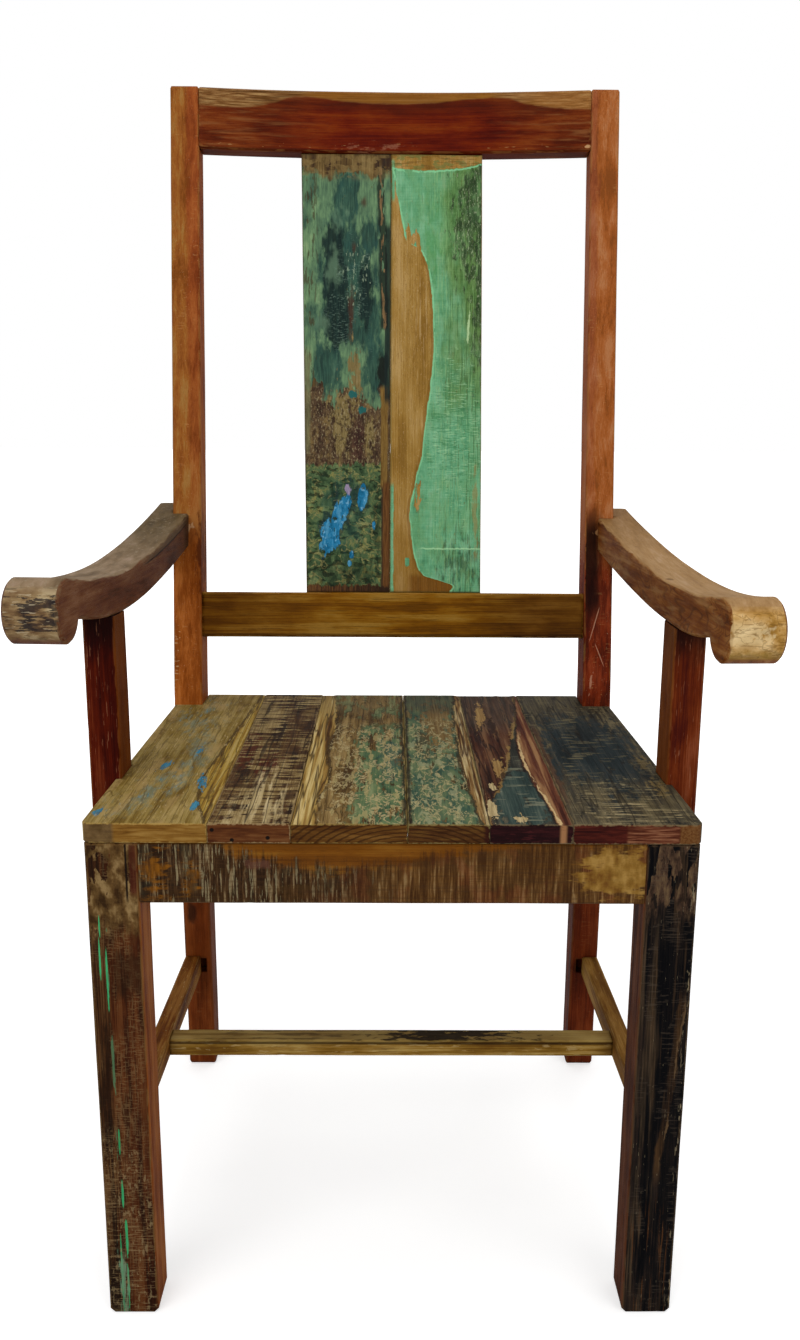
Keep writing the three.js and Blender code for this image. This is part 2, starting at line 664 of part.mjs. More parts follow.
// Joinery
const screwKinds = ["rail_screw_1", "rail_screw_2", "seat_screw"];
const cornerScrews = (corner) => screwKinds.map((kind) => `${corner}_${kind}`);
for (const [name] of sides) {
  const [rail, stretcher, post] = [`${name}_seat_rail`, `${name}_side_stretcher`, `${name}_back_post`];
  const [arm, support] = [`${name}_arm`, `${name}_arm_support`];
  const supportScrews = [`${name}_support_screw_1`, `${name}_support_screw_2`];
  const blockScrews = [...cornerScrews(`front_${name}`), ...cornerScrews(`rear_${name}`)];
  const outerBoard = name === "left" ? "seat_board_1" : `seat_board_${seatWoods.length}`;
  const backRails = ["crest_rail", "lower_back_rail", "rear_seat_rail"];
  fit(frame, `${name}_front_leg`, "front_seat_rail", rail, stretcher);
  fit(frame, post, ...backRails, rail, stretcher, `${arm}_screw`);
  fit(frame, rail, post, ...supportScrews, ...blockScrews);
  fit(frame, stretcher, post, "cross_stretcher");
  fit(frame, arm, post, support, `${arm}_screw`, `${arm}_plug`);
  fit(frame, support, arm, ...supportScrews);
  fit(frame, outerBoard, post, support, ...blockScrews);
  for (const corner of [`front_${name}`, `rear_${name}`])
    fit(frame, `${corner}_corner_block`, ...cornerScrews(corner));
  fit(frame, `${name}_splat_board`);
}
fit(frame, "front_seat_rail", ...cornerScrews("front_left"), ...cornerScrews("front_right"));
fit(frame, "rear_seat_rail", ...cornerScrews("rear_left"), ...cornerScrews("rear_right"));
fit(frame, "crest_rail", "left_splat_board", "right_splat_board");
fit(frame, "lower_back_rail", "left_splat_board", "right_splat_board");
fit(frame, "cross_stretcher");

// The origin goes to the floor under the middle of the bounding box
const middle = new THREE.Box3().setFromObject(frame, true).getCenter(new THREE.Vector3());
const chair = new THREE.Group();
chair.add(placed(frame, -middle.x, -middle.y, 0));

export default chair;
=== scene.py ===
"""Looks of an upright armchair of reclaimed painted hardwood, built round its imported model."""

import json
import math
from functools import reduce
from operator import or_
from types import SimpleNamespace

import bmesh
import bpy
from mathutils import Matrix, Vector
from mathutils.noise import noise as smooth_noise


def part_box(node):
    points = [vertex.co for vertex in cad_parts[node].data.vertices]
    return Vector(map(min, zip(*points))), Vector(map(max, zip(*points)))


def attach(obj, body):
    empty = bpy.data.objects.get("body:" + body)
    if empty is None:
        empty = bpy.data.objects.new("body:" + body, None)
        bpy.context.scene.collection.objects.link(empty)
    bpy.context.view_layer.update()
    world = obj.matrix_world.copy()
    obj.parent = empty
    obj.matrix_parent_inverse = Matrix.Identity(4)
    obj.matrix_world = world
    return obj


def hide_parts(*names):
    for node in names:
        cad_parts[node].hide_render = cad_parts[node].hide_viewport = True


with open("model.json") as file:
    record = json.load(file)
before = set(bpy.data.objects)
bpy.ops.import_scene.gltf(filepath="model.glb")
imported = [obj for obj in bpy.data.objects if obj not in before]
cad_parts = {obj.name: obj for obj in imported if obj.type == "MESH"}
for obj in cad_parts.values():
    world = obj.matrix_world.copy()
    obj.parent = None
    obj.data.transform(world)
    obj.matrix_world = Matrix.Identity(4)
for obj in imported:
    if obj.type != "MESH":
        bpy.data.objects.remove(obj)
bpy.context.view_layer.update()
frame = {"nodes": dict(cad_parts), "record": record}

# Sizes, in millimetres unless a name says otherwise

millimetre = 0.001
back_rake = math.radians(9.2)

# The camera: the place and lens that the photograph was taken with

eye_before_seat = 861.5
eye_height = 779.4
eye_to_left = 1.7
eye_pitch = math.radians(12.44)
eye_roll = math.radians(0.34)
eye_yaw = math.radians(-0.45)
image_height_pixels = 1340
focal_length_pixels = 1128.2
sensor_size = 36
nearest_seen = 0.05  # metres

# Meshes: how finely the solids are cut, and how they are worn

cell = 6.0
board_cell = 4.0  # on the seat and the splat
rim = 2.4  # from a piece's ends to the first and last cut
cut_tolerance = 1e-7  # metres
weld_distance = 0.01
flat_angle = math.radians(0.5)
wave_size = 70
wave_depth = 0.22
edge_gain = 14  # how fast a bend in the surface counts as an edge
chip_size = 9
chip_depth = 0.9
chip_level = 0.52  # the noise over which an edge is chipped
splat_chips = 0.3
gouge_depth = 1.6
gouge_slope = 5  # how far inside its line a gouge is at its full depth
gouge_length, gouge_width = 60, 6  # of the ridges in it
gouge_least, gouge_swing = 0.6, 0.8  # its depth over them, as shares
upward = 0.6  # the least rise of a normal on a top face
seam_reach = 0.2
hair = 0.01
seed_spread = 3.7

# Materials

richness = 1.12  # how far the colours stand away from grey
seed_range, seed_step = 97, 17.3
facing_cosines = (0.55, 0.8)
raggedness = 5  # of a patch's rim, as a share of its size
lip_width, lip_strength = 0.035, 0.55  # the dirt beside old paint
paint_edge, paint_thickness, paint_roughness = 0.012, 0.22, 0.45

# Light

floor_size = 30.0
floor_grey = (0.82, 0.82, 0.82, 1)
near_glow, near_reach, far_reach = 0.53, 0.9, 2.6  # how the floor fades to white, by metres from the chair
lit_from_around = 0.45
aim = Vector((0, 0, 0.55))
lamps = {  # place, size and power
    "key": ((-1.7, -2.6, 2.3), 2.4, 46),
    "fill": ((2.0, -2.5, 1.7), 2.4, 31),
    "top": ((0.2, 0.6, 3.2), 2.2, 32),
}

# Directions

UP = Vector((0, 0, 1))
RIGHT = Vector((1, 0, 0))
BACK = Vector((0, 1, 0))
FORWARD = -BACK
UP_THE_BACK = Vector((0, math.sin(back_rake), math.cos(back_rake)))
OUT_OF_THE_BACK = Vector((0, -math.cos(back_rake), math.sin(back_rake)))


def linear(code):
    """A colour written as six hex digits, as the linear values that a shader takes."""
    channels = [int(code[place : place + 2], 16) / 255 for place in (0, 2, 4)]
    dark_end, dark_slope, offset, power = 0.04045, 12.92, 0.055, 2.4
    made = [c / dark_slope if c <= dark_end else ((c + offset) / (1 + offset)) ** power for c in channels]
    grey = sum(made) / 3
    return (*[max(0, grey + (c - grey) * richness) for c in made], 1.0)


class Field:
    """A number that changes over the surface: a shader socket that takes plain sums."""

    def __init__(self, socket):
        self.socket = socket

    def __add__(self, other):
        return combined("ADD", self, other)

    def __sub__(self, other):
        return combined("SUBTRACT", self, other)

    def __rsub__(self, other):
        return combined("SUBTRACT", other, self)

    def __mul__(self, other):
        return combined("MULTIPLY", self, other)

    __radd__ = __add__
    __rmul__ = __mul__

    def __truediv__(self, other):
        return combined("DIVIDE", self, other)

    def __abs__(self):
        return combined("ABSOLUTE", self)

    def __and__(self, other):
        return combined("MINIMUM", self, other)

    def __or__(self, other):
        return combined("MAXIMUM", self, other)

    def __invert__(self):
        return 1 - self


# The material that is being made. begin() sets it, and every function below works on it

board = None
finishes = {}


def begin(name, node, along, across):
    """Starts a material on a piece's own axes: u along the grain, v across it and w through the piece.

    They are returned, in millimetres from the piece's lowest place on each axis.
    """
    global board
    material = bpy.data.materials.new(name)
    material.use_nodes = True
    tree = material.node_tree
    board = SimpleNamespace(material=material, tree=tree, shader=tree.nodes["Principled BSDF"], gouges=[])
    finishes[name] = board
    through = along.cross(across)
    board.axes = Matrix((along, across, through)).transposed()
    points = [vertex.co for vertex in frame["nodes"][node].data.vertices]
    spans = [[point.dot(axis) for point in points] for axis in (along, across, through)]
    board.origin = board.axes @ Vector([min(span) for span in spans])
    board.length, board.width = [(max(span) - min(span)) / millimetre for span in spans[:2]]
    coordinates = add("TexCoord", {}).outputs
    board.normal = coordinates["Normal"]
    settings = {"Location": board.origin, "Rotation": board.axes.to_euler(), "Scale": (millimetre,) * 3}
    inputs = {"Vector": coordinates["Object"], **settings}
    board.place = add("Mapping", inputs, vector_type="TEXTURE").outputs[0]
    board.u, board.v, board.w = [Field(part) for part in add("SeparateXYZ", {0: board.place}).outputs]
    board.flat = add("CombineXYZ", {0: board.u, 1: board.v}).outputs[0]
    board.edge = Field(add("Attribute", {}, attribute_name="edge").outputs["Fac"])
    board.seed = sum(map(ord, name)) % seed_range
    board.ragged = noise(15, 5, detail=6, roughness=0.62)
    return board.u, board.v, board.w


def add(kind, inputs, tree=None, **settings):
    """A shader node, with each input linked to a socket or set to a value."""
    if tree is None:
        tree = board.tree
    made = tree.nodes.new("ShaderNode" + kind)
    for name, value in settings.items():
        setattr(made, name, value)
    for name, value in inputs.items():
        if isinstance(value, Field):
            value = value.socket
        if isinstance(value, bpy.types.NodeSocket):
            tree.links.new(value, made.inputs[name])
        else:
            made.inputs[name].default_value = value
    return made


def combined(operation, *values):
    return Field(add("Math", dict(enumerate(values)), operation=operation).outputs[0])


def rise(value, low, high):
    """0 below low, 1 above high, and a smooth step between."""
    inputs = {"Value": value, "From Min": low, "From Max": high}
    return Field(add("MapRange", inputs, interpolation_type="SMOOTHSTEP").outputs[0])


def within(value, low, high, soft=1.0):
    """1 where the value is between low and high."""
    return rise(value, low - soft / 2, low + soft / 2) & ~rise(value, high - soft / 2, high + soft / 2)


def facing(direction):
    """1 on the faces that look this way."""
    toward = add("VectorMath", {0: board.normal, 1: direction}, operation="DOT_PRODUCT").outputs["Value"]
    return rise(Field(toward), *facing_cosines)


def noise(along, across, through=None, detail=3, roughness=0.55, warp=0):
    """Noise about a half whose grains have these sizes in millimetres."""
    board.seed += seed_step
    sizes = (along, across, across if through is None else through)
    settings = {"Location": (board.seed, -board.seed, board.seed), "Scale": [1 / size for size in sizes]}
    vector = add("Mapping", {"Vector": board.place, **settings}).outputs[0]
    inputs = {"Vector": vector, "Scale": 1, "Detail": detail, "Roughness": roughness, "Distortion": warp}
    return Field(add("TexNoise", inputs).outputs[0])


def stray(reach):
    """How far a ragged edge strays to either side, in millimetres."""
    return (board.ragged - 0.5) * reach


def over(level, *sizes, step=0.02, **settings):
    """Sharp-edged grains of noise: 1 where it is over the level."""
    return rise(noise(*sizes, **settings), level, level + step)


def veins(thin, *sizes, **settings):
    """Thin wandering lines."""
    return ~rise(abs(noise(*sizes, **settings) - 0.5), 0, thin)


def spot(u, v, length, width, turn=0, ragged=0.4, soft=0.15):
    """1 inside an uneven patch round a place on the wide face."""
    size = (length / 2, width / 2, 1)
    settings = {"Location": (u, v, 0), "Rotation": (0, 0, math.radians(turn)), "Scale": size}
    near = add("Mapping", {"Vector": board.flat, **settings}, vector_type="TEXTURE").outputs[0]
    distance = Field(add("VectorMath", {0: near}, operation="LENGTH").outputs["Value"])
    return rise(stray(raggedness * ragged) + 1 - distance, 0, soft)


def spots(*patches, **settings):
    """1 inside any of several patches that share the settings given by name."""
    return reduce(or_, (spot(*patch, **settings) for patch in patches))


def drawn(points, wander=0.0, gouged=0):
    """The v of a line drawn through points given as (u, v).

    Where gouged is 1 or -1, the top is also hollowed from the line out to the right or left edge.
    """
    if gouged:
        board.gouges.append((points, gouged))
    made = add("FloatCurve", {"Value": board.u / board.length})
    line = made.mapping.curves[0]
    places = [(u / board.length, v / board.width) for u, v in points]
    for point, place in zip(line.points, (places[0], places[-1])):
        point.location = place
    for place in places[1:-1]:
        line.points.new(*place)
    made.mapping.update()
    return Field(made.outputs[0]) * board.width + stray(wander)


def tones(value, codes, low=0.36, high=0.64):
    """Colours, written as codes with spaces between, spread evenly over the value from low to high."""
    codes = codes.split()
    made = add("ValToRGB", {0: value})
    stops = made.color_ramp.elements
    while len(stops) < len(codes):
        stops.new(0.5)
    for index, code in enumerate(codes):
        stops[index].position = low + (high - low) * index / max(1, len(codes) - 1)
        stops[index].color = linear(code)
    return made.outputs[0]


def mixed(share, first, second):
    colours = [linear(colour) if isinstance(colour, str) else colour for colour in (first, second)]
    return add("Mix", {0: share, 6: colours[0], 7: colours[1]}, data_type="RGBA").outputs[2]


def wood(codes, bands=1.0, fibre=0.8, saw=0.0):
    """Bare wood: slow bands, clouds, fine fibres along the grain and dark pores. It returns the grain."""
    slow = noise(260, 10, detail=2, warp=0.8)
    cloud = noise(60, 26)
    fibres = noise(80, 1.1, detail=5, roughness=0.7)
    grain = (slow - 0.5) * (0.9 * bands) + (cloud - 0.5) * 0.6 + (fibres - 0.5) * fibre + 0.5
    pores = over(0.6, 9, 0.45, step=0.1, detail=1)
    board.colour = tones(grain, codes)
    board.colour = mixed(pores * (0.5 * fibre), board.colour, codes.split()[0])
    board.height = fibres * 0.25 - pores * 0.12
    board.rough = noise(30, 8) * 0.35 + 0.28
    if saw:
        board.height = board.height + noise(0.9, 60) * saw
    return grain


def coat(mask, colour, thickness=0.0, rough=None):
    """A layer of paint, dirt or bare wood where the mask is 1."""
    board.colour = mixed(mask, board.colour, colour)
    if thickness:
        board.height = board.height + mask * thickness
    if rough is not None:
        board.rough = board.rough + mask * (rough - board.rough)


def peel(value, level, colour, where, dirt="1c1610"):
    """Old paint where the value is over the level, with a dirty lip along its broken edge."""
    lip = rise(value, level - lip_width, level) * lip_strength
    paint = rise(value, level, level + paint_edge)
    lip, paint = lip * where, paint * where
    coat(lip, dirt)
    coat(paint, colour, paint_thickness, paint_roughness)


def worn(colour, amount=0.5):
    """Bare wood where hands and knocks have rubbed the edges."""
    rubbed = rise(board.edge + (noise(18, 4, detail=4) - 0.5) * 2.4, 0.75, 1.05)
    coat(rubbed * amount, colour)


def done(gloss=0.08, dull=0.2):
    """Ends a material: its colour, roughness, gloss and fine relief go to the shader."""
    board.tree.links.new(board.colour, board.shader.inputs["Base Color"])
    board.tree.links.new((board.rough + dull).socket, board.shader.inputs["Roughness"])
    board.shader.inputs["Specular IOR Level"].default_value = gloss
    inputs = {"Strength": 1.0, "Distance": millimetre, "Height": board.height}
    board.tree.links.new(add("Bump", inputs).outputs[0], board.shader.inputs["Normal"])


# Finishes of the back


def post(name, node, outer, inner, low, boundary, red_is_low):
    """A back post, redder on one side of a line up its face and below the arms."""
    u, v, _ = begin(name, node, UP, RIGHT)
    grain = wood(outer, bands=0.6, fibre=0.5)
    side = v + (noise(240, 7, detail=2) - 0.5) * 14
    red = rise(side, boundary - 3, boundary + 3)
    if red_is_low:
        red = ~red
    coat(red * (rise(u, 560, 1000) * 0.65 + 0.3), tones(grain, inner))
    under = ~rise(u + stray(70), 600, 668)
    coat(under * 0.95, tones(grain, low))
    coat(under * rise(noise(150, 7), 0.46, 0.62) * 0.65, low.split()[0])
    coat(over(0.66, 60, 1.2) * 0.35, low.split()[-1])
    coat(over(0.7, 2.2, 1.1, detail=2) * 0.35, "c0a080")
    coat(over(0.62, 1.2, 16, detail=2) * over(0.56, 50, 14) * 0.3, "b98a5c")
    worn("a07848", 0.3)
    return u, v, grain


u, v, grain = post(
    "left_post_wood", "left_back_post",
    "6e3e1b 824c27 8f5a2e 956c3e", "6c321a 844426 965430", "743a18 96542a ac683a",
    18.5, False,
)
coat(spot(628, 36, 120, 26, ragged=0.6, soft=0.7) * 0.8, "3c1408")
coat(rise(v, 22, 34) * ~rise(u, 640, 690) * 0.12, "5a240e")
# painted shade: the post is darker below the seat, where the seat shades it
coat(~rise(u, 380, 440) * 0.75, tones(grain, "361206 4e2010 602c18"))
coat(spot(205, 10, 38, 15, ragged=0.2, soft=0.6) * 0.8, "180a05")
coat(spot(661, 13, 11, 19, ragged=0.6) * 0.8, "b8906c", 0.3)
coat(over(0.6, 1.4, 8, detail=2) * spot(520, 3, 110, 9, ragged=0.5, soft=0.4) * 0.8, "c09a70")
done(gloss=0.06, dull=0.15)

u, v, grain = post(
    "right_post_wood", "right_back_post",
    "7a4524 90522c 9c5e38 a6704c", "763e28 8c5034 986044", "3e120a 662313 7c3420",
    9, True,
)
shade = ~rise(v + (noise(60, 9) - 0.5) * 16, 12, 22) * within(u, 560, 676, 44)
coat(shade * facing(OUT_OF_THE_BACK) * 0.9, "100403")
# painted shade: the post is darker below the seat, where the seat shades it
coat(~rise(u, 380, 440) * 0.7, tones(grain, "3a1408 522412 68341c"))
scratches = spots((556, 12, 44, 1.3, 16), (520, 18, 30, 1.2, -22), ragged=0.2)
coat((scratches | spot(486, 8, 22, 3, turn=8, ragged=0.9)) * 0.6, "b88a70")
coat(spot(657, 16, 9, 14, ragged=0.6) * 0.6, "ac8058", 0.3)
done(gloss=0.06, dull=0.15)

u, v, _ = begin("crest_wood", "crest_rail", RIGHT, UP_THE_BACK)
grain = wood("400c02 541705 62210a 703016", bands=0.6, fibre=0.45)
coat(rise(v + (noise(120, 20, detail=2) - 0.5) * 30, 34, 58) * 0.45, "4a2210")
ends = ~rise(u + stray(60), 60, 170) | rise(u + stray(60), 320, 430)
coat(ends * 0.6, tones(grain, "481c0a 602c14 744022"))
coat(rise(noise(110, 5, detail=4), 0.5, 0.7) * ends * 0.6, "805434")
line = drawn(
    [(0, 48), (60, 46), (95, 52), (125, 60), (170, 56), (220, 53.5), (270, 54.5), (320, 59), (345, 60),
     (380, 52), (420, 47), (462, 45)], 3,
)
band = rise(v - line, -1.4, 1.8)
middle_share = within(u, 130, 345, 30)
coat(band, tones(noise(130, 1.6), "5a3a1c 745030 866440 9a7a52"))
coat(band * middle_share * 0.75, tones(grain, "74481c 825424 8f622c"))
coat(band * rise(noise(90, 2.4, detail=4), 0.5, 0.66) * ~middle_share * 0.55, "4c321c")
coat(within(v, 0, 2.5, 1.5) * 0.6, "2c0e05")
coat(spot(445, 5, 6, 3, ragged=0.8), "b08a64")
coat(band * rise(u, 340, 400) * 0.4, "a06c3c")
coat(spot(205, 5, 60, 12, ragged=1.0, soft=1) * rise(board.ragged, 0.46, 0.6) * 0.4, "a07058")
coat(within(u, 0, 3, 1) * 0.5, "2a0e05")
coat(over(0.66, 9, 2) * within(v, 3, 10, 4) * 0.6, "a07850")
worn("8c6038", 0.35)
done(gloss=0.05, dull=0.05)

u, v, _ = begin("lower_rail_wood", "lower_back_rail", RIGHT, UP_THE_BACK)
grain = wood("5e3a10 744a18 825a22 8f6c34", bands=0.7, fibre=0.5)
coat(~rise(u, 60, 190) * 0.7, tones(grain, "4c2a0b 643f16 7c5424"))
coat(rise(u, 300, 400) * 0.8, tones(grain, "2e1607 48280c 643e18"))
coat(over(0.6, 50, 1.4) * 0.5, "3c2209")
coat(within(v, 0, 4, 1.5) * 0.6, "2a1406")
worn("8f6a38")
done(gloss=0.06, dull=0.1)

u, v, _ = begin("left_splat_wood", "left_splat_board", UP_THE_BACK, RIGHT)
front = facing(OUT_OF_THE_BACK)
wood("33241a 4c3a24 645030 806c48", fibre=0.7)
flakes = noise(20, 7, detail=7, roughness=0.68)
smear = noise(46, 24, detail=4, roughness=0.6)
fine = noise(18, 1.2, detail=4, roughness=0.65)
chipped = flakes * 0.8 + fine * 0.2
# Sage paint on the upper half, with dark teal over it
sage = tones(noise(30, 16, detail=4) * 0.6 + fine * 0.4, "425a48 567055 688562 829a72")
upper = within(u, 232 + (smear - 0.5) * 150 + stray(30), 476 + (smear - 0.5) * 40 + stray(20), 6)
peel(chipped, 0.36, sage, where=upper * front, dirt="2a2618")
teal = tones(smear * 0.5 + fine * 0.5, "142624 1e3632 2c4a40 426050")
dark_parts = spots(
    (452, 52, 84, 44), (405, 76, 70, 34), (358, 54, 180, 98), (318, 60, 120, 84), (262, 84, 100, 40),
    (262, 30, 90, 50), ragged=0.2, soft=1,
)
dark_parts = rise(dark_parts + (smear - 0.5) * 1.9 + (flakes - 0.5) * 1.2 + (fine - 0.5) * 0.6, -0.05, 0.45)
coat(dark_parts * upper * front * rise(chipped, 0.37, 0.4) * 0.9, teal)
lobes = spots((350, 38, 150, 40), (396, 36, 64, 36), (310, 42, 76, 42), ragged=0.2, soft=1)
lobes = lobes | spot(345, 72, 110, 28, ragged=0.2, soft=1) * 0.8
core = rise(lobes + (smear - 0.5) * 1.1 + (flakes - 0.5) * 0.9, 0.04, 0.42)
coat(core * upper * front * 0.9, tones(fine * 0.6 + flakes * 0.4, "0a1514 12201f 20332e"))
coat(rise(noise(26, 14, detail=5), 0.5, 0.68) * dark_parts * ~core * front * 0.5, "284843")
coat(rise(smear, 0.55, 0.7) * upper * front * rise(v, 8, 20) * 0.45, "6f8c70")
coat(spot(258, 92, 56, 16, soft=0.4) * front * 0.9, "12110f")
coat(over(0.56, 14, 3, detail=5) * upper * front * ~rise(v, 12, 24) * 0.7, "3f3422")
marks = spots((445, 71, 16, 10), (395, 60, 16, 8), soft=0.9) | spot(322, 56, 90, 8, ragged=0.7, soft=0.9)
coat(marks * front * 0.7, "452a20")
rows = over(0.56, 1.5, 4.5) * rise(noise(26, 12), 0.44, 0.6)
coat(rows * spot(335, 54, 170, 84, soft=0.9) * front * 0.4, "7c9484")
coat(over(0.6, 6, 2.2) * spot(368, 62, 60, 34, ragged=0.7) * front * 0.6, "93a38a")
# The rough zone below, rubbed down to the wood
rough_zone = within(u, 146 + stray(40), 240, 3)
rough_zone = rough_zone * ~rise(u - (smear - 0.5) * 150 - stray(30), 228, 238) * front
mottle = noise(16, 9, detail=6, roughness=0.7)
coat(rough_zone * 0.9, tones(mottle, "2c1f16 46352a 5c4a36 74603f"))
tan_parts = spots((196, 44, 92, 26), (246, 60, 100, 15), ragged=0.6, soft=0.3)
tan_parts = tan_parts | spot(180, 78, 60, 12, ragged=0.7, soft=0.3)
coat(tan_parts * rise(mottle, 0.4, 0.48) * front, tones(fine * 0.5 + mottle * 0.5, "5c5034 766642 8c7c58"))
coat(rough_zone * spot(176, 64, 76, 16, ragged=0.7, soft=0.4) * 0.8, tones(mottle, "33211c 4f352c"))
coat(rough_zone * over(0.57, 4, 2, detail=5) * 0.6, "9a8c6c", 0.2)
coat(rough_zone * over(0.56, 5, 3, detail=5) * 0.6, "2a1c14", -0.2)
coat(within(u, 167, 279, 20) * ~rise(v + stray(8), 8, 12) * front * 0.75, tones(fine, "5c5a40 7c7a58"))
coat(spots((232, 58, 9, 9), (214, 69, 12, 8)) * front, "2a5c58")
# Crusted green on the lower part, with splashes of blue
low_part = within(u + stray(30), 16, 152, 2) * ~rise(v + stray(5), 90, 92) * front
crust = noise(15, 11, detail=7, roughness=0.68, warp=0.3)
green = tones(crust, "22321f 3a4e34 566846 727f56")
coat(low_part, green, 0.35, 0.4)
coat(
    rise(crust, 0.54, 0.6) * over(0.46, 26, 24, detail=2) * low_part * 0.8, tones(fine, "6a6a3e 8a8450"),
    0.3,
)
coat(veins(0.035, 13, 19, detail=4, warp=0.7) * low_part * over(0.44, 20, 20) * 0.85, "8f8a5c", 0.5)
coat(over(0.56, 6, 12, detail=5) * low_part * 0.7, "10190f", -0.5)
shade = spots((30, 52, 36, 110), (80, 86, 130, 14), ragged=0.8, soft=0.8)
coat(shade * low_part * 0.5, "11160f")
coat(spot(98, 50, 100, 62, ragged=0.5, soft=0.5) * low_part * 0.2, "345c58")
blue_parts = (
    spot(97, 44, 52, 18, turn=20, ragged=0.35, soft=0.05)
    | spot(72, 33, 40, 20, turn=14, ragged=0.5, soft=0.05)
    | spot(115, 69, 30, 11, turn=6, ragged=0.35, soft=0.05) | spot(50, 57, 9, 6, soft=0.06)
    | spot(41, 55, 8, 5, soft=0.06) | spot(85, 83, 12, 5, ragged=0.6, soft=0.06)
)
torn = rise(noise(9, 5, detail=4), 0.36, 0.38)
coat((spot(92, 42, 84, 30, turn=24, ragged=0.5) | spot(115, 69, 38, 17)) * front * 0.6, "1c2f30")
coat(blue_parts * torn * front, tones(noise(12, 4, detail=4), "235f80 3579a0 5590b0"), 0.35, 0.35)
coat(blue_parts * over(0.6, 5, 4) * front * 0.7, "7fb0cc")
coat(spot(124, 53, 12, 8, ragged=1.0, soft=0.5) * front * 0.9, "9a8ca4")
coat(within(u, 128, 240, 8) * within(v + stray(5), 90, 98, 2) * front, tones(fine, "644a26 82683c"))
coat(within(u, 8, 133, 6) * rise(v, 92, 94) * front, tones(fine, "4a2c16 6e4c2c"))
coat(within(u, 223, 420, 12) * rise(v, 93.5, 95) * front * 0.9, "182220")
# The split near the right edge, the two ends and the rear face
split = within(u, 305, 484, 6) * front
off_line = abs(v - drawn([(0, 93), (320, 93.5), (400, 91), (500, 89)], 9))
coat(split * ~rise(off_line, 3, 6) * over(0.4, 30, 6) * 0.85, "161a16")
coat(split * ~rise(off_line, 1, 2) * over(0.45, 22, 6), tones(fine, "5e4a34 866c4c"))
coat(~rise(u + stray(16), 14, 17) * front, tones(fine + v * -0.003 + 0.1, "2c1d12 4c3220 6a4a2c"))
coat(rise(u, 466, 480) * over(0.48, 8, 16, detail=5) * front * 0.6, tones(mottle, "4c3c22 7a6440 8c7850"))
back = facing(-OUT_OF_THE_BACK)
peel(
    chipped, 0.47, tones(fine, "24382c 34503c 4c6a4e"), where=back * rise(u + (smear - 0.5) * 200, 150, 190),
)
coat(rise(board.edge, 0.4, 0.9) * front * 0.45, "3b2f20")
done(dull=0.1)

u, v, _ = begin("right_splat_wood", "right_splat_board", UP_THE_BACK, RIGHT)
front = facing(OUT_OF_THE_BACK)
wood("7c5c2c 8f6e3a 9a7a46 aa8c5c", bands=0.3, fibre=0.5)
coat(over(0.55, 60, 2.4, detail=4) * spot(310, 34, 170, 26, soft=0.9) * 0.55, "b89e74")
coat(over(0.6, 2.6, 1.4) * rise(u, 200, 260) * 0.35, "6e5028")
coat(over(0.62, 2.6, 1.2) * 0.3, "bca278")
coat(~rise(u, 10, 150) * 0.4, "7a5624")
coat(over(0.62, 26, 1.4) * 0.4, "6a4a1e")
fine = noise(46, 1.1, detail=4, roughness=0.65)
cross = noise(1.4, 22)
mottle = noise(22, 13, detail=6, roughness=0.66)
# The bare wedge, the chips and the paint's upper end
wedge = drawn(
    [(0, 80), (7, 68), (15, 71), (19, 63), (24, 48), (28, 37), (43, 29), (60, 25), (77, 23), (100, 21.6),
     (122, 26), (145, 30.4), (162, 35), (190, 38), (218, 41.4), (241, 44.6), (263, 46.8), (302, 47.6),
     (335, 46.4), (360, 44), (378, 39.4), (393, 33), (398, 24), (406, 15.4), (424, 12), (440, 8.6),
     (457, 5.2), (473, 2.8), (484, 0), (499, 0)], 5,
)
chips = spot(408, 19.5, 28, 6, turn=-6, ragged=0.5) | spot(400, 31, 26, 6, turn=-10, ragged=0.6)
chips = chips | spot(404, 25, 14, 5)
past_top = u - 480 - (v - 38) * (v - 38) * 0.002 - stray(5)
top_line = rise(past_top, 0, 0.8)
bare = ~rise(v - wedge, 0, 0.7) | chips | spot(118, 31, 40, 7, ragged=1.2) & over(0.42, 14, 3, detail=4)
seam_strip = within(u, 8, 130, 8) * ~rise(v + stray(4), 3.4, 4.4) | spot(42, 20, 12, 6)
seam_strip = seam_strip | within(u, 448, 490, 8) * ~rise(v, 3, 4.5)
painted = (~(bare | top_line) | seam_strip) * front
# The paint's own colours, from mint to dark olive
body = noise(120, 5) * 0.2 + fine * 0.2 + cross * 0.15 + mottle * 0.45
beside = v - wedge
drift = (noise(90, 16) - 0.5) * 50 + (noise(44, 24, detail=4) - 0.5) * 70
minty = rise(u, 320, 430) * ~rise(v + drift, 34, 82)
minty = minty | ~rise(beside + drift, 10, 44) * rise(u, 170, 240) | ~rise(u + drift, 170, 260)
paint = tones(body, "446c40 56804e 66905c 7ea070", low=0.4, high=0.6)
paint = mixed(minty * 0.9, paint, tones(body, "508864 609a74 70a882 88ba96", low=0.4, high=0.6))
olive = rise(v + drift * 0.6, 50, 92) * rise(u, 190, 270)
paint = mixed(olive * 0.6, paint, tones(body, "425a30 586e3c 6e8250", low=0.4, high=0.6))
dark_side = spot(430, 94, 190, 64, ragged=0.6, soft=0.9)
dark_side = dark_side | spot(330, 102, 240, 30, ragged=0.6, soft=0.9) * 0.7
dark_side = rise(dark_side + (mottle - 0.5) * 1.2, 0.1, 0.7)
paint = mixed(dark_side * 0.9, paint, tones(body, "1c281f 2c3829 404d38", low=0.4, high=0.6))
paint = mixed(
    spot(40, 84, 70, 60, ragged=0.8, soft=0.9) * 0.8, paint, tones(body, "243927 384f37", low=0.4, high=0.6),
)
paint = mixed(spot(400, 46, 120, 26, ragged=0.6, soft=0.9) * 0.5, paint, "4c8a4c")
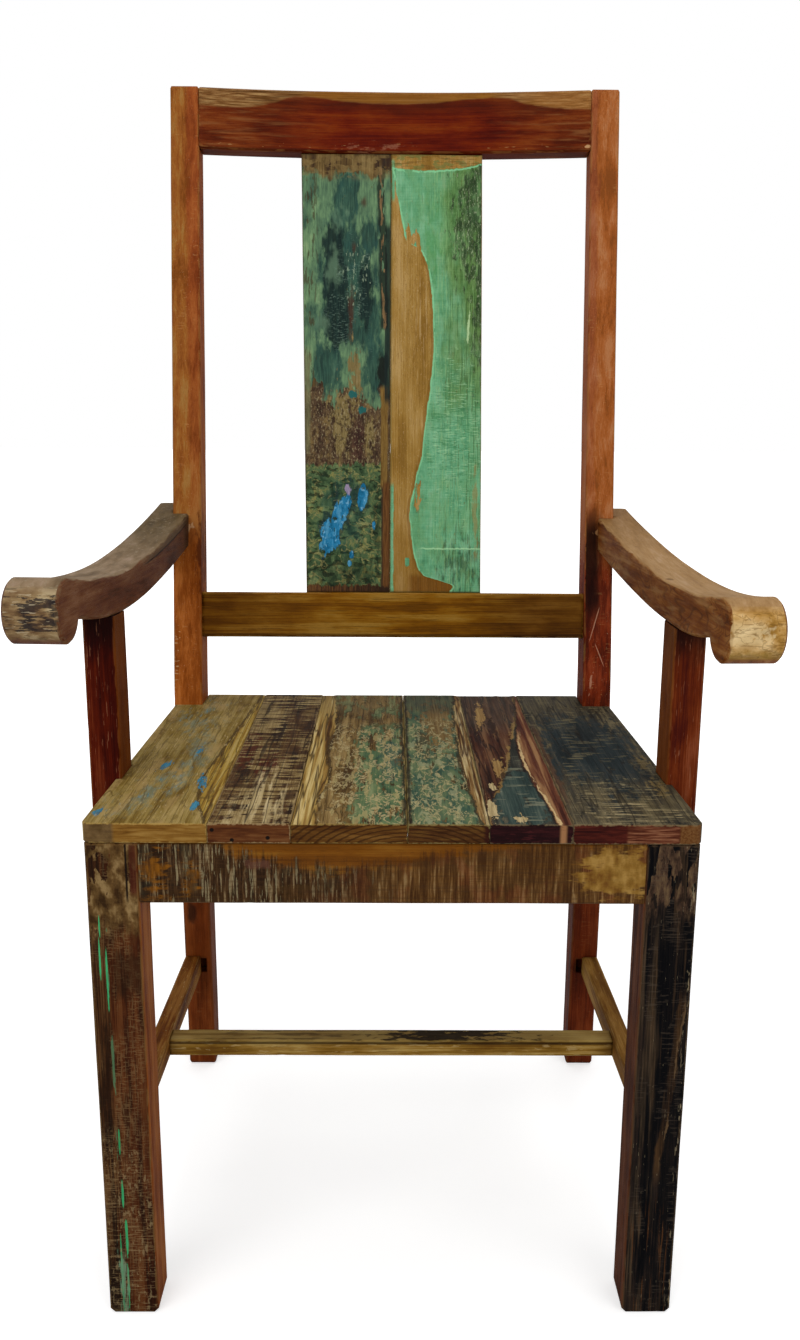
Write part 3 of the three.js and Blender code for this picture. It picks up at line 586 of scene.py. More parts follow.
paint = mixed(rise(mottle, 0.52, 0.66) * 0.2, paint, "4c7049")
coat(painted, paint, 0.25, 0.4)
# Marks on the paint
cloud = noise(36, 20, detail=6, roughness=0.62)
coat(painted * rise(u, 220, 300) * 0.14, "4a6424")
coat(painted * rise(cloud, 0.5, 0.62) * 0.35, "6c9664")
coat(painted * minty * rise(1 - cloud, 0.5, 0.64) * 0.35, "84b692")
coat(painted * over(0.58, 30, 1.6, detail=4) * rise(v, 40, 50) * 0.3, "94b880")
coat(painted * over(0.56, 9, 5, detail=6, roughness=0.7) * 0.25, "7a9a68")
coat(painted * over(0.6, 40, 1.3) * rise(v, 50, 70) * 0.6, "3c5c30", -0.15)
coat(painted * over(0.635, 12, 2.2, detail=6, roughness=0.7) * 0.6, "6f6a3a", -0.2)
coat(painted * over(0.58, 4, 1.6, detail=4) * dark_side * 0.7, "94a080", 0.15)
coat(painted * over(0.5, 20, 6, detail=5) * dark_side * 0.6, "24331f")
coat(
    painted * over(0.55, 1.6, 13, detail=4) * spot(190, 74, 170, 90, ragged=0.5, soft=0.5) * 0.55, "3f7a50",
    -0.15,
)
coat(
    painted * over(0.58, 1.4, 10, detail=4) * spot(190, 74, 200, 90, ragged=0.5, soft=0.5) * 0.45, "a4cca0",
    0.1,
)
coat(painted * within(u + stray(3), 57, 58.6, 0.8) * rise(v, 30, 40) * 0.7, "a8d4a4")
coat(painted * spot(310, 88, 40, 2.8, turn=4, ragged=0.7) * 0.8, "b4cc9c")
coat(painted * spot(96, 97, 120, 7, ragged=0.7, soft=0.5) * 0.6, "8a7a4c")
# Its rims, the bare ends and the rear face
rim_line = within(beside, 0, 2.2, 0.8) | within(past_top, -2, 0, 0.6)
coat(painted * rim_line * over(0.4, 24, 12) * 0.8, "86c292", 0.15)
coat(~painted * front * within(beside, -2.4, 0, 1.5) * ~rise(u, 385, 392) * 0.5, "6a4a20", -0.2)
coat(within(u, 4, 28, 8) * within(v, 22, 72, 10) * front * ~painted * 0.7, tones(fine, "54300f 74481c"))
back = facing(-OUT_OF_THE_BACK)
peel(mottle * 0.6 + fine * 0.4, 0.55, tones(body, "3f6a48 588a60"), where=back * ~rise(u, 260, 330))
coat(top_line * over(0.54, 5, 12, detail=5) * front * 0.6, "5c6a3c")
coat(top_line * over(0.55, 1.6, 20, detail=4) * front * 0.5, "5a3e1c")
coat(rise(board.edge, 0.4, 0.9) * front * 0.4, "5a5a38")
done(dull=0.1)


# Finishes of the seat. Its grain runs away from the eye, so the marks along it are long


def seat_board(number, codes, bands=1.0):
    """A seat board's wood, and what its paint is made of: its top face and three kinds of noise."""
    u, v, _ = begin(f"seat_board_{number}_wood", f"seat_board_{number}", BACK, RIGHT)
    wood(codes, bands=bands, fibre=0.6, saw=0.25)
    top = facing(UP)
    fine = noise(70, 1.6, detail=4, roughness=0.65)
    blotch = noise(52, 15, detail=6, roughness=0.66)
    chipped = blotch * 0.75 + fine * 0.25
    return u, v, top, fine, blotch, chipped


def front_edge(codes, centre=None):
    """The sawn front end of a seat board, where the grain shows as low arcs, or as hills round a centre."""
    end = facing(FORWARD)
    arcs = noise(60, 40, 3.2, warp=0.7) * 0.7 + noise(9, 12, 1.4, detail=4) * 0.3
    coat(end, tones(arcs, codes), rough=0.5)
    if centre is not None:
        beside, under = (board.v - centre) / 2.1, 34 - board.w
        rings = combined("SINE", combined("SQRT", beside * beside + under * under) * 1.9 + board.ragged * 3)
        coat(end * rise(rings, 0.1, 0.9) * 0.7, "261204")
    return end


_, v, top, fine, blotch, _ = seat_board(1, "60491f 7a6434 8c7848 9e885a", bands=0.5)
haze = spots((84, 42, 150, 62, 16), (200, 62, 190, 46, -6), ragged=0.5, soft=0.8)
haze = (haze | spot(340, 44, 180, 60, ragged=0.6, soft=0.8)) * rise(blotch, 0.42, 0.54) * top
coat(haze * 0.75, tones(fine, "5a6450 687264 808874"))
coat(rise(noise(60, 18, detail=4), 0.54, 0.62) * top * 0.5, "9c8358")
strip_line = drawn(
    [(0, 99), (20, 95), (60, 85), (113, 80), (200, 84), (300, 90), (412, 96), (440, 98)], 7, gouged=1,
)
strip = rise(v - strip_line, 0, 1.5)
coat(strip * top, tones(noise(140, 3, detail=4), "6a4e22 8a6c34 9c8242 ae9660"), -0.5)
coat(within(v - strip_line, -1.2, 1.4, 1.4) * over(0.42, 60, 9) * top * 0.8, "423018", -0.5)
coat(veins(0.035, 200, 7, detail=2) * strip * top * 0.8, "3c2a14", -0.4)
coat(veins(0.02, 220, 16, warp=0.6) * top * 0.6, "4c3a1c", -0.3)
blue = spots((108, 81, 40, 9, -8), (42, 85, 26, 7), ragged=0.6) | spot(158, 38, 40, 8, turn=12, ragged=0.7)
blue = blue | spot(27, 7, 18, 8, ragged=0.7) | spot(210, 62, 34, 7, ragged=0.8)
coat(blue * over(0.42, 18, 4, detail=4) * top, tones(fine, "35677e 4c8298"), 0.2)
coat(over(0.62, 20, 4, detail=4) * haze * 0.7, "4f7c8c", 0.2)
end = front_edge("5c3c18 78562a 8c6c3c")
coat(end * ~rise(v, 24, 28) * 0.75, tones(blotch, "32281c 66543c"))
coat(over(0.66, 10, 2, detail=2) * top * 0.5, "b4a078")
coat(over(0.56, 16, 7, detail=6, roughness=0.7) * top * 0.4, "5e4a28")
worn("a08550", 0.6)
done()

u, v, top, fine, _, _ = seat_board(2, "2a1a0e 432c1a 553e26 6a5436")
comb = noise(6.5, 42, detail=4, roughness=0.6)
reach = noise(160, 20, detail=4)
lines = rise(comb * 0.7 + reach * 0.3, 0.5, 0.53) * top
coat(lines * 0.85, tones(fine, "6a5636 8a7650 a8946c"), 0.35)
# painted sheen: the pale lines are paler still toward the rear of the seat
coat(lines * rise(u, 250, 350) * 0.4, "95825a")
coat(rise(1 - comb, 0.53, 0.58) * top * 0.6, "20130a", -0.2)
red = spot(215, 8, 150, 20, ragged=0.6, soft=0.3) | spot(150, 33, 90, 26, ragged=0.7, soft=0.3)
coat(red * top * ~lines * 0.85, tones(fine, "3c1a10 552c1a"))
streaks = veins(0.09, 190, 13, detail=2, warp=0.3) * spot(60, 42, 220, 76, ragged=0.5, soft=0.8) * top
coat(streaks * over(0.4, 40, 6) * 0.9, tones(fine, "a8946a c6b48e"), 0.3)
coat(veins(0.02, 260, 16, detail=2) * top * 0.8, "1c1008", -0.5)
end = front_edge("3a1b0c 54301a 68452a")
nail_holes = [(4, 5.4), (20, 14), (49, 12)]
for across, down in nail_holes:
    near = (v - across) * (v - across) + (board.w - down) * (board.w - down)
    coat(~rise(near, 1.5, 3.5) * end, "120a06", -1.0)
worn("9a8460", 0.6)
done()

u, v, top, fine, _, chipped = seat_board(3, "422f19 5c4728 725b38 8a734c")
ridge_line = drawn([(0, 21), (60, 19), (120, 25), (200, 20), (330, 22), (440, 15)], 10, gouged=-1)
ridge = ~rise(v - ridge_line, -1, 1)
coat(ridge * top, tones(noise(170, 4.5, detail=4, warp=0.4), "5a3c1c 8a6c3c a48a54 c4ae7c"), 0.4)
coat(within(v - ridge_line, -1.5, 1.5, 1.6) * over(0.42, 60, 9) * top * 0.8, "33220f", -0.6)
coat(veins(0.04, 190, 8, detail=2) * ridge * top * 0.85, "33220f", -0.5)
green = tones(noise(44, 12, detail=5) * 0.7 + fine * 0.3, "2a3c2c 445a40 5f6e4c 7c8460")
green_part = rise(v + stray(40), 44, 52) * ~rise(u + stray(90), 280, 320)
peel(chipped, 0.44, green, where=green_part * top)
peel(chipped, 0.53, green, where=~ridge * rise(u, 320, 350) * top)
# painted sheen: the top is paler toward the rear of the seat
coat(rise(u, 330, 390) * top * 0.4, tones(fine, "6a5634 8e7c54"))
coat(spot(190, 80, 170, 26, ragged=0.6, soft=0.4) * top * 0.65, tones(fine, "1e302c 38504a"))
wrinkle = veins(0.06, 14, 7, detail=4, warp=0.6) * over(0.46, 26, 12, detail=4) * top * ~ridge
coat(wrinkle * ~rise(u, 280, 330) * 0.85, "b0a078", 0.4)
coat(veins(0.03, 60, 9, detail=2, warp=0.8) * top * ~ridge * ~green_part * 0.7, "34240f", -0.4)
coat(over(0.57, 34, 7, detail=5) * top * ~ridge * ~rise(u, 280, 320) * 0.6, "a39468", 0.2)
front_edge("3c200b 543618 6a4a26", centre=board.width)
coat(rise(v, 88, 93) * top * over(0.42, 50, 4, detail=4) * 0.9, "241a10", -0.8)
worn("8f7848", 0.6)
done()

u, v, top, fine, _, chipped = seat_board(4, "362a18 4a3c22 5e4e30 7c6a46")
green = tones(noise(44, 12, detail=5) * 0.7 + fine * 0.3, "20352c 3a5040 566448 747c5a")
zone = spot(310, 36, 230, 40, ragged=0.6, soft=0.4)
peel(chipped, 0.42, green, where=~zone * top)
coat(zone * top * 0.7, tones(fine, "523c22 6c5434 84704c"))
coat(spot(240, 18, 130, 18, ragged=0.6, soft=0.5) * top * 0.7, tones(fine, "30261a 4c3e28"))
wrinkle = veins(0.06, 14, 7, detail=4, warp=0.6) * over(0.46, 26, 12, detail=4) * top
coat(wrinkle * ~rise(u, 300, 350) * 0.85, "a89c74", 0.45)
coat(over(0.57, 30, 8, detail=5) * top * ~rise(u, 240, 300) * 0.65, "8f9070", 0.2)
# painted sheen: the top is greyer toward the rear of the seat
coat(rise(u, 340, 380) * top * 0.7, tones(fine, "302c22 423e2e 544c36"))
strip_line = drawn([(0, 60), (60, 56), (150, 52), (250, 53), (350, 55), (440, 60)], 12, gouged=1)
strip = rise(v - strip_line, 0, 1.5)
coat(strip * top, tones(noise(130, 4, detail=4, warp=0.4), "4c321c 7a5c38 9a845c c4b28c"), -0.3)
coat(veins(0.05, 170, 7, detail=2) * strip * top * 0.85, "32180e", -0.6)
coat(within(v - strip_line, -1.5, 1.5, 1.6) * over(0.42, 60, 9) * top * 0.8, "2c2012", -0.6)
coat(~rise(v + stray(8), 2, 5) * top * 0.9, "241a10", -0.8)
end = front_edge("301807 4a2e16 604420", centre=0)
coat(end * rise(v, 60, 64) * 0.9, "2a0d08")
worn("86784e", 0.6)
done()

u, v, top, fine, _, chipped = seat_board(5, "23231f 34342d 464338 5a5444")
gash_line = drawn(
    [(0, 3), (60, 7), (87, 16), (140, 26), (200, 34), (300, 50), (384, 62), (440, 64)], 14, gouged=-1,
)
gash = ~rise(v - gash_line, -1.2, 1.2)
coat(gash * top, tones(noise(150, 7, detail=4, warp=0.6), "26120c 3e2218 523424 6c4e38"), -0.4)
coat(veins(0.04, 200, 12, warp=0.8) * gash * top * 0.9, "1c0d0a", -0.6)
coat(over(0.62, 90, 5, detail=4) * gash * top * 0.6, "7e6044", 0.2)
# painted sheen: the top is greyer toward the rear of the seat
coat(rise(u, 260, 330) * top * 0.45, tones(fine, "34302a 4a4438"))
coat(within(v - gash_line, -2, 1.5, 1.4) * over(0.45, 70, 9) * top * 0.7, "8f7448", 0.2)
tan_chips = spots((350, 18, 100, 9, 4), (150, 21, 70, 9, 3), ragged=1.0)
coat(tan_chips * top, tones(fine, "7a5c38 a08458"), 0.3)
coat(spots((310, 27, 60, 8), (120, 24, 50, 8), ragged=0.6) * top * 0.8, "1e0f0c", -0.4)
teal = tones(noise(90, 9, detail=4) * 0.5 + fine * 0.5, "1a2422 283633 38453f 545c52")
peel(chipped, 0.38, teal, where=spot(64, 32, 170, 54, turn=6, ragged=0.3) * ~gash * top)
coat(over(0.58, 6, 30) * over(0.47, 60, 20) * ~rise(u, 150, 210) * top * ~gash * 0.6, "7c7c68", 0.15)
nicks = spot(34, 4, 50, 9, ragged=0.9) | spot(12, 26, 22, 10, ragged=1.0) | spot(96, 11, 30, 6, ragged=0.9)
coat(nicks * top, tones(fine, "94805a bcaa84"), 0.3)
red_line = drawn([(0, 54), (60, 51), (100, 47), (195, 44), (300, 52), (432, 64), (440, 64)], 8, gouged=1)
strip = rise(v - red_line, 0, 1.2)
coat(strip * top, tones(noise(140, 5, detail=4, warp=0.5), "36170f 552e20 6f4a34 8f6c4c"), -0.5)
coat(within(v - red_line, 2, 4.5, 1) * over(0.42, 90, 8) * ~rise(u, 230, 290) * top, "c0a67c", 0.3)
coat(within(v - red_line, -1.2, 1.2, 1.2) * top * 0.7, "180c08", -0.4)
end = front_edge("140305 1e0709 2c0f10")
coat(end * within(v, 57, 62, 3) * 0.9, "946c4c", 0.3)
coat(end * over(0.62, 3, 12, 1.4) * 0.4, "4a2020")
worn("6e6048", 0.6)
done()

u, v, top, fine, blotch, chipped = seat_board(6, "24231f 383329 4c4434 645a44")
paint = tones(noise(120, 14, detail=4) * 0.5 + fine * 0.5, "10181a 1c2628 2c3232 46463e")
peel(chipped, 0.4, paint, where=spot(210, 50, 360, 120, soft=0.5) * top)
dark_parts = spots((268, 50, 130, 52), (200, 24, 120, 30), soft=0.9)
coat(dark_parts * top * 0.75, tones(fine, "0b1112 151d1f"))
# painted sheen: the top is paler toward the rear of the seat
coat(rise(u + stray(90), 340, 400) * top * 0.7, tones(fine, "383226 4c4436 665c42"))
coat(
    spot(50, 50, 190, 120, soft=0.8) * rise(blotch, 0.45, 0.55) * top * 0.7,
    tones(fine, "3c3426 544a34 6c6046"),
)
coat(over(0.55, 3, 34, detail=4) * spot(44, 62, 150, 110, ragged=0.6, soft=0.8) * top * 0.7, "a89874", 0.25)
coat(over(0.58, 3, 24, detail=4) * over(0.48, 90, 24) * top * 0.5, "7e7458", 0.15)
flecks = spots((96, 92, 50, 20), (170, 94, 60, 14), ragged=1.1, soft=0.6) * over(0.44, 8, 6, detail=5)
coat(flecks * top * 0.7, tones(fine, "5c4c2e 84704a"))
coat(veins(0.03, 70, 16, warp=1.5) * spot(370, 85, 110, 50) * top * 0.8, "14120f")
coat(veins(0.02, 260, 18, detail=2) * top * 0.7, "14110e", -0.4)
coat(~rise(v + stray(16), 3, 8) * within(u, 60, 300, 60) * top * 0.7, tones(fine, "3c2418 5c4230"))
end = front_edge("260806 3a130d 4e2018")
coat(end * within(v, 44, 86, 3), tones(noise(20, 20, 1.6, detail=4), "3a170d 5c3424 7e5640"))
coat(end * rise(v, 85, 88), tones(fine, "523018 6a4a2c"))
worn("75654a", 0.6)
done()

# Finishes of the front

u, v, _ = begin("front_rail_wood", "front_seat_rail", RIGHT, UP)
wood("46260c 583312 68401a 7c5626", bands=0.5, fibre=0.5)
front = facing(FORWARD)
comb = noise(1.7, 30, detail=5, roughness=0.62) * 0.6 + noise(6, 44) * 0.4
limit = drawn(
    [(0, 60), (75, 60), (95, 44), (130, 36), (180, 30), (230, 34), (280, 44), (340, 50), (400, 52),
     (452, 54)], 22,
)
sawn = ~rise(v - limit + (comb - 0.5) * 50, -7, 7) * front
coat(sawn * 0.85, tones(comb, "0a0805 1f160d 42301e 786a50", low=0.45, high=0.61), 0.5)
coat(sawn * rise(u, 170, 240) * 0.45, tones(comb, "4a2c12 7c5830", low=0.42, high=0.6))
coat(sawn * over(0.58, 1.8, 24, detail=4) * ~rise(u, 120, 260) * 0.45, "9c9070", 0.2)
coat(sawn * rise(noise(70, 1.6, detail=4), 0.5, 0.6) * 0.35, "3c2817")
coat(
    spots((34, 28, 40, 40), (60, 22, 20, 30), ragged=1.0, soft=0.8) * front * 0.75,
    tones(noise(4, 14, detail=4), "4a2c10 6e4418 845420"),
)
coat(~sawn * rise(v, 30, 48) * front * within(u, 90, 330, 50) * 0.5, "6c4116")
coat(spot(116, 34, 24, 13, ragged=0.8, soft=0.8) * front * 0.6, "5c3c30")
smears = noise(20, 36, detail=4)
coat(sawn * rise(smears, 0.5, 0.62) * rise(u, 120, 240) * 0.5, tones(comb, "3c1a0c 6a3c24"))
coat(sawn * rise(1 - smears, 0.52, 0.62) * ~rise(u, 130, 240) * 0.45, tones(comb, "0c0b07 4c4632"))
coat(spot(412, 28, 74, 48, soft=0.3) * front * 0.85, tones(noise(10, 16, detail=4), "61401c 7e5e2e 9a7a46"))
done()

u, v, _ = begin("left_front_leg_wood", "left_front_leg", UP, RIGHT)
grain = wood("160a04 2a170b 3e2513 563c25", fibre=0.8, saw=0.3)
front = facing(FORWARD)
coat(within(v + (noise(90, 8) - 0.5) * 20, 14, 50, 6) * front * 0.7, tones(grain, "280f06 401c0d 542d18"))
coat(rise(noise(80, 11, detail=5), 0.5, 0.62) * rise(u, 40, 120) * front * 0.7, "1d0e06")
# Saw marks and dark streaks
weave = over(0.53, 1.3, 7, detail=2, step=0.05) | over(0.56, 12, 1.1, detail=2, step=0.05)
coat(weave * rise(noise(70, 14), 0.42, 0.58) * 0.34, "7a6244", 0.1)
coat(over(0.58, 1.2, 18, detail=4) * ~rise(u, 60, 240) * front * 0.45, "8a7454", 0.15)
coat(over(0.56, 60, 2.4, detail=4) * ~rise(v, 10, 18) * front * 0.6, "1a0e06")
coat(within(u + stray(40), 310, 350, 14) * rise(v, 14, 22) * front * 0.6, "1a0e06")
top_part = rise(u + stray(60), 358, 380) * front
coat(top_part * over(0.44, 22, 12, detail=4) * 0.85, tones(noise(14, 10, detail=5), "30200f 5a4428 8c7450"))
coat(rise(u, 396, 404) * rise(v, 35, 37) * front * 0.85, tones(grain, "3c1a10 5a3020"))
coat(rise(u, 390, 400) * within(v, 32.5, 34, 1) * front, "140c08", -0.8)
coat(facing(RIGHT) * 0.9, tones(grain, "643018 844a28 965e36"))
mint = (
    spot(343, 8, 46, 1.8, ragged=0.2) | spot(325, 13.4, 70, 1.9, ragged=0.3)
    | spot(372, 9, 24, 1.4, ragged=0.3) | spot(172, 16, 28, 1.9, ragged=0.2)
    | spot(120, 16.5, 30, 2.4, ragged=0.3) | spot(76, 18, 40, 2.4) | spot(40, 12.6, 90, 1.9, ragged=0.3)
    | spot(30, 17.5, 50, 1.6, ragged=0.5)
)
coat(mint * front, tones(grain, "2f7a4c 48a06a"), 0.2)
coat(spot(30, 14, 90, 10, ragged=0.6, soft=0.6) * over(0.45, 30, 2) * front * 0.7, "6f8c70")
coat(spot(250, 14.5, 190, 2, ragged=0.6) * over(0.45, 30, 4) * front * 0.8, "4c6a4c", 0.1)
coat(over(0.6, 6, 2.6, detail=4) * ~rise(u, 150, 200) * front * 0.4, "8f7c5c")
worn("6f5434")
done(gloss=0.05)

u, v, _ = begin("right_front_leg_wood", "right_front_leg", UP, RIGHT)
grain = wood("040406 090809 120e0d 261d18", fibre=0.8, saw=0.2)
front = facing(FORWARD)
streaks = noise(120, 6, detail=5, roughness=0.6)
left_part = ~rise(v + (noise(120, 10) - 0.5) * 30, 12, 20)
coat(left_part * rise(streaks, 0.42, 0.56) * 0.85, tones(noise(60, 2.4, detail=4), "14100d 2e251c 4a3c2e"))
coat(rise(streaks, 0.57, 0.66) * 0.7, tones(noise(60, 2, detail=4), "15100c 30241a 483828"))
gash = v - drawn([(0, 26), (120, 24), (150, 24), (200, 29), (300, 36), (330, 38), (445, 38)], 8)
coat(within(gash, -3, 3, 2) * within(u, 140, 312, 30) * front * 0.75, tones(grain, "201610 46321f"))
coat(
    within(gash, 1.5, 3, 1.4) * within(u, 150, 305, 20) * over(0.5, 22, 5, detail=4) * front * 0.6, "64503a",
)
coat(
    rise(u + stray(50), 370, 405) * over(0.48, 30, 9, detail=5) * front * 0.8,
    tones(board.ragged, "1c130d 48362a 66523c"),
)
coat(over(0.6, 60, 1.4, detail=4) * ~rise(u, 80, 130) * 0.5, "5a3a22")
coat(over(0.61, 12, 2, detail=4) * rise(v, 36, 42) * front * 0.8, "94866c", 0.1)
coat(over(0.69, 9, 1.1, detail=4) * front * 0.5, "94886e", 0.1)
coat(over(0.56, 1.2, 16, detail=4) * over(0.52, 40, 20) * front * 0.3, "4c4238")
coat(facing(-RIGHT) * 0.9, tones(grain, "30120a 4c2818 623a26"))
worn("4c3c2c")
done(gloss=0.04)


def support(name, node, codes):
    """An arm's support, with painted shade black at its top under the arm, and paler near the seat."""
    u, _, _ = begin(name, node, UP, RIGHT)
    grain = wood(codes, bands=0.5, fibre=0.5)
    # painted shade: the top of the support is black where the arm shades it
    coat(rise(u + stray(40), board.length - 60, board.length - 20) * 0.85, "120403")
    coat(
        ~rise(u, board.length - 190, board.length - 130) * rise(noise(34, 14, detail=5), 0.48, 0.62) * 0.4,
        codes.split()[-1],
    )
    coat(over(0.65, 20, 1.4) * 0.35, "9a6a50")
    worn("84502e", 0.4)
    return grain


grain = support("left_support_wood", "left_arm_support", "2c0600 3c0e02 4c1606 602a18")
coat(facing(RIGHT) * 0.7, tones(grain, "5a2c12 74421e"))
done(gloss=0.05)
grain = support("right_support_wood", "right_arm_support", "3e110a 54200f 642c16 78402a")
coat(facing(-RIGHT) * 0.6, tones(grain, "60341a 7a4c28"))
done(gloss=0.06)

# Finishes of the arms

u, v, w = begin("left_arm_wood", "left_arm", BACK, RIGHT)
grain = wood("442618 583222 66412c 76523c", bands=0.5, fibre=0.4)
top = facing(UP)
front = facing(FORWARD)
grey = noise(90, 26, detail=4) * 0.6 + noise(30, 8, detail=5) * 0.4
coat(top * 0.95, tones(grey, "5c4b37 75624b 8a765f 9b8776"))
coat(rise(u, 220, 400) * top * 0.8, tones(grey, "42351f 54452c 64533a"))
coat(over(0.62, 6, 5) * top * 0.4, "948670")
# The scroll's front
scroll = front * ~rise(u, 30, 45)
coat(scroll, tones(noise(26, 22, 9, detail=5), "503c28 70583e 8c7656 aa9878"))
streak = noise(26, 20, 3.4, detail=6, roughness=0.68)
belt = within(w + stray(20), 38, 64, 8) * rise(v, 8, 18)
coat(scroll * rise(streak + belt * 0.09, 0.545, 0.6) * 0.9, tones(noise(14, 10), "14131a 2c2422 3f3026"))
coat(scroll * rise(w, 66, 72) * over(0.48, 20, 14, 5) * 0.6, "5c5030")
coat(over(0.61, 14, 12, 2, detail=5) * scroll * 0.5, "bcae92", 0.15)
coat(rise(v, board.width - 10, board.width - 4) * scroll * 0.6, "6a4026")
coat(rise(v, board.width - 5, board.width - 3) * scroll * over(0.45, 10, 10, 6) * 0.5, "c0b090")
# The inner side, with its long crack
inner_side = facing(RIGHT)
coat(rise(u, 300, 380) * inner_side * 0.5, tones(grain, "3c2216 6a4424"))
crack = w - drawn([(0, 45), (181, 45.5), (246, 43), (321, 36), (406, 23.3), (500, 6)], 3)
cracked = within(u, 255, 440, 40) * inner_side
coat(~rise(crack, 0, 1) * cracked * 0.6, tones(grey, "4c3c2a 66543e"))
coat(within(crack, -0.6, 0.9, 0.8) * cracked * 0.85, "190f09", -0.5)
coat(rise(u + stray(24), 408, 424) * inner_side * 0.7, tones(board.ragged, "1c110b 3c2c1e"))
coat(within(u, 150, 330, 60) * rise(w, 60, 90) * facing(RIGHT) * 0.45, "7c4a28")
worn("7c6a50", 0.25)
done(dull=0.12)

u, _, w = begin("right_arm_wood", "right_arm", BACK, RIGHT)
wood("52290f 68391a 7c4c28 8f643c", bands=0.6, fibre=0.4)
swirl = noise(120, 60, 34, detail=2, warp=0.5)
rings = combined("SINE", swirl * 120)
side_face = facing(-RIGHT)
coat(rise(rings, 0.5, 0.98) * side_face * rise(noise(60, 30), 0.4, 0.55) * 0.6, "3c1e0c")
coat(rise(noise(60, 20, 9), 0.52, 0.66) * side_face * 0.5, "94704a")
top = facing(UP)
front = facing(FORWARD)
soft = noise(140, 22, detail=4) * 0.6 + noise(60, 3, detail=4) * 0.4
coat(top * 0.95, tones(soft, "876644 967650 a2825c ae9070"))
coat(top * rise(u, 280, 440) * 0.6, tones(soft, "6a4c2a 80603a"))
coat(rise(rings, 0.3, 0.95) * top * 0.1, "765632")
coat(spot(182, 18, 14, 9, ragged=0.3, soft=0.5) * top * 0.7, "5a3c1e")
# The scroll's front
scroll = front * ~rise(u, 30, 45)
coat(scroll, tones(noise(26, 18, 10, detail=5), "8c6732 a8814a bb9662 d0b080"))
coat(scroll * spot(8, 34, 60, 46, ragged=0.5, soft=0.5) * within(w, 48, 66, 12) * 0.5, "dccaa2")
coat(scroll * veins(0.03, 22, 16, 12) * 0.5, "76582c")
coat(scroll * rise(w + stray(14), 66, 76) * 0.7, tones(noise(20, 14, 3, detail=4), "665026 8a7038"))
coat(scroll * over(0.6, 20, 12, 2, detail=4) * 0.5, "6c4c22")
# painted shadow: the side face is darker at its rear, beside the post
coat(rise(u, 440, 470) * side_face * 0.6, "2c1608")
coat(over(0.68, 5, 3, detail=2) * 0.4, "5a3c20")
worn("a07c52", 0.2)
done(gloss=0.1, dull=0.12)

# Finishes of the stretchers, and of what the seat hides

for name, node, codes, edge_code in (
    ("stretcher_wood", "left_side_stretcher", "4c2a12 663c1a 7c5228 90683a", "a08450"),
    ("hidden_rail_wood", "left_seat_rail", "402813 5f3c20 75502e 8a663e", "8a6a40"),
):
    _, v, _ = begin(name, node, BACK, RIGHT)
    grain = wood(codes, fibre=0.6, saw=0.25)
    coat(facing(UP) * 0.7, tones(grain, "572f16 70421f 865a30"))
    coat(over(0.62, 40, 2) * 0.5, "4c3018")
    coat(over(0.66, 10, 2) * 0.5, "b09a6c")
    if name == "stretcher_wood":
        coat(rise(v, 100, 300) * 0.6, tones(grain, "6a4a22 866434 9c7c48"))
    worn(edge_code)
    done(gloss=0.06)

u, v, _ = begin("cross_stretcher_wood", "cross_stretcher", RIGHT, UP)
grain = wood("64451e 82622e 957540 ac9058", bands=0.8, fibre=0.6, saw=0.2)
top = facing(UP)
coat(top * 0.9, tones(grain, "745a34 8e7446 a28a58"))
coat(spot(300, 9, 150, 90, ragged=0.9, soft=0.5) * top * 0.95, tones(board.ragged, "120d0a 2c2218"))
coat(spot(140, 9, 170, 90, ragged=0.9, soft=0.9) * top * over(0.5, 40, 3) * 0.5, "302318")
coat(over(0.6, 40, 1.6) * ~top * 0.5, "5a3c1a")
coat(over(0.6, 18, 3) * ~top * 0.5, "b8a070")
worn("a08850", 0.4)
coat(within(v, board.width - 4.5, board.width - 1.5, 1.5) * facing(FORWARD) * 0.8, "1e130a")
# painted shade: darker at both ends, where the stretcher meets the side stretchers
coat((~rise(u, 6, 30) | rise(u, board.length - 30, board.length - 6)) * 0.4, "4a2c14")
done(gloss=0.06)

for name, node, codes in (
    ("corner_block_wood", "front_left_corner_block", "7c5830 946e40 a27e50 b08e60"),
    ("plug_wood", "left_arm_plug", "5c4028 745638 846648 947656"),
):
    begin(name, node, RIGHT, UP)
    wood(codes)
    done(gloss=0.06)

begin("screw_steel", "left_arm_screw", UP, RIGHT)
turning = noise(0.6, 6)
board.colour = tones(turning, "7d7b74 a5a39c")
board.rough = turning * 0.3 + 0.25
board.height = turning * 0.05
board.shader.inputs["Metallic"].default_value = 1
done(gloss=0.1, dull=0.0)


# Pieces


def refined(node, spacing):
    """A finer copy of a solid's mesh, cut along evenly spaced planes and near its edges."""
    mesh = bmesh.new()
    mesh.from_mesh(frame["nodes"][node].data)
    bmesh.ops.remove_doubles(mesh, verts=mesh.verts, dist=weld_distance * millimetre)
    bmesh.ops.dissolve_limit(mesh, angle_limit=flat_angle, verts=mesh.verts, edges=mesh.edges)
    low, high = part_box(node)
    for axis, normal in enumerate((RIGHT, BACK, UP)):
        span = high[axis] - low[axis]
        count = max(1, round(span / (spacing * millimetre)))
        places = [span * step / count for step in range(1, count)]
        if span > 4 * rim * millimetre:
            places += [rim * millimetre, span - rim * millimetre]
        for place in sorted(places):
            geometry = mesh.verts[:] + mesh.edges[:] + mesh.faces[:]
            plane = {"plane_co": low + normal * place, "plane_no": normal}
            bmesh.ops.bisect_plane(mesh, geom=geometry, dist=cut_tolerance, **plane)
    return mesh


def line_at(points, u):
    """The v of a line through the points (u, v)."""
    for (u0, v0), (u1, v1) in zip(points, points[1:]):
        if u <= u1:
            return v0 + (v1 - v0) * max(0, u - u0) / (u1 - u0)
    return points[-1][1]


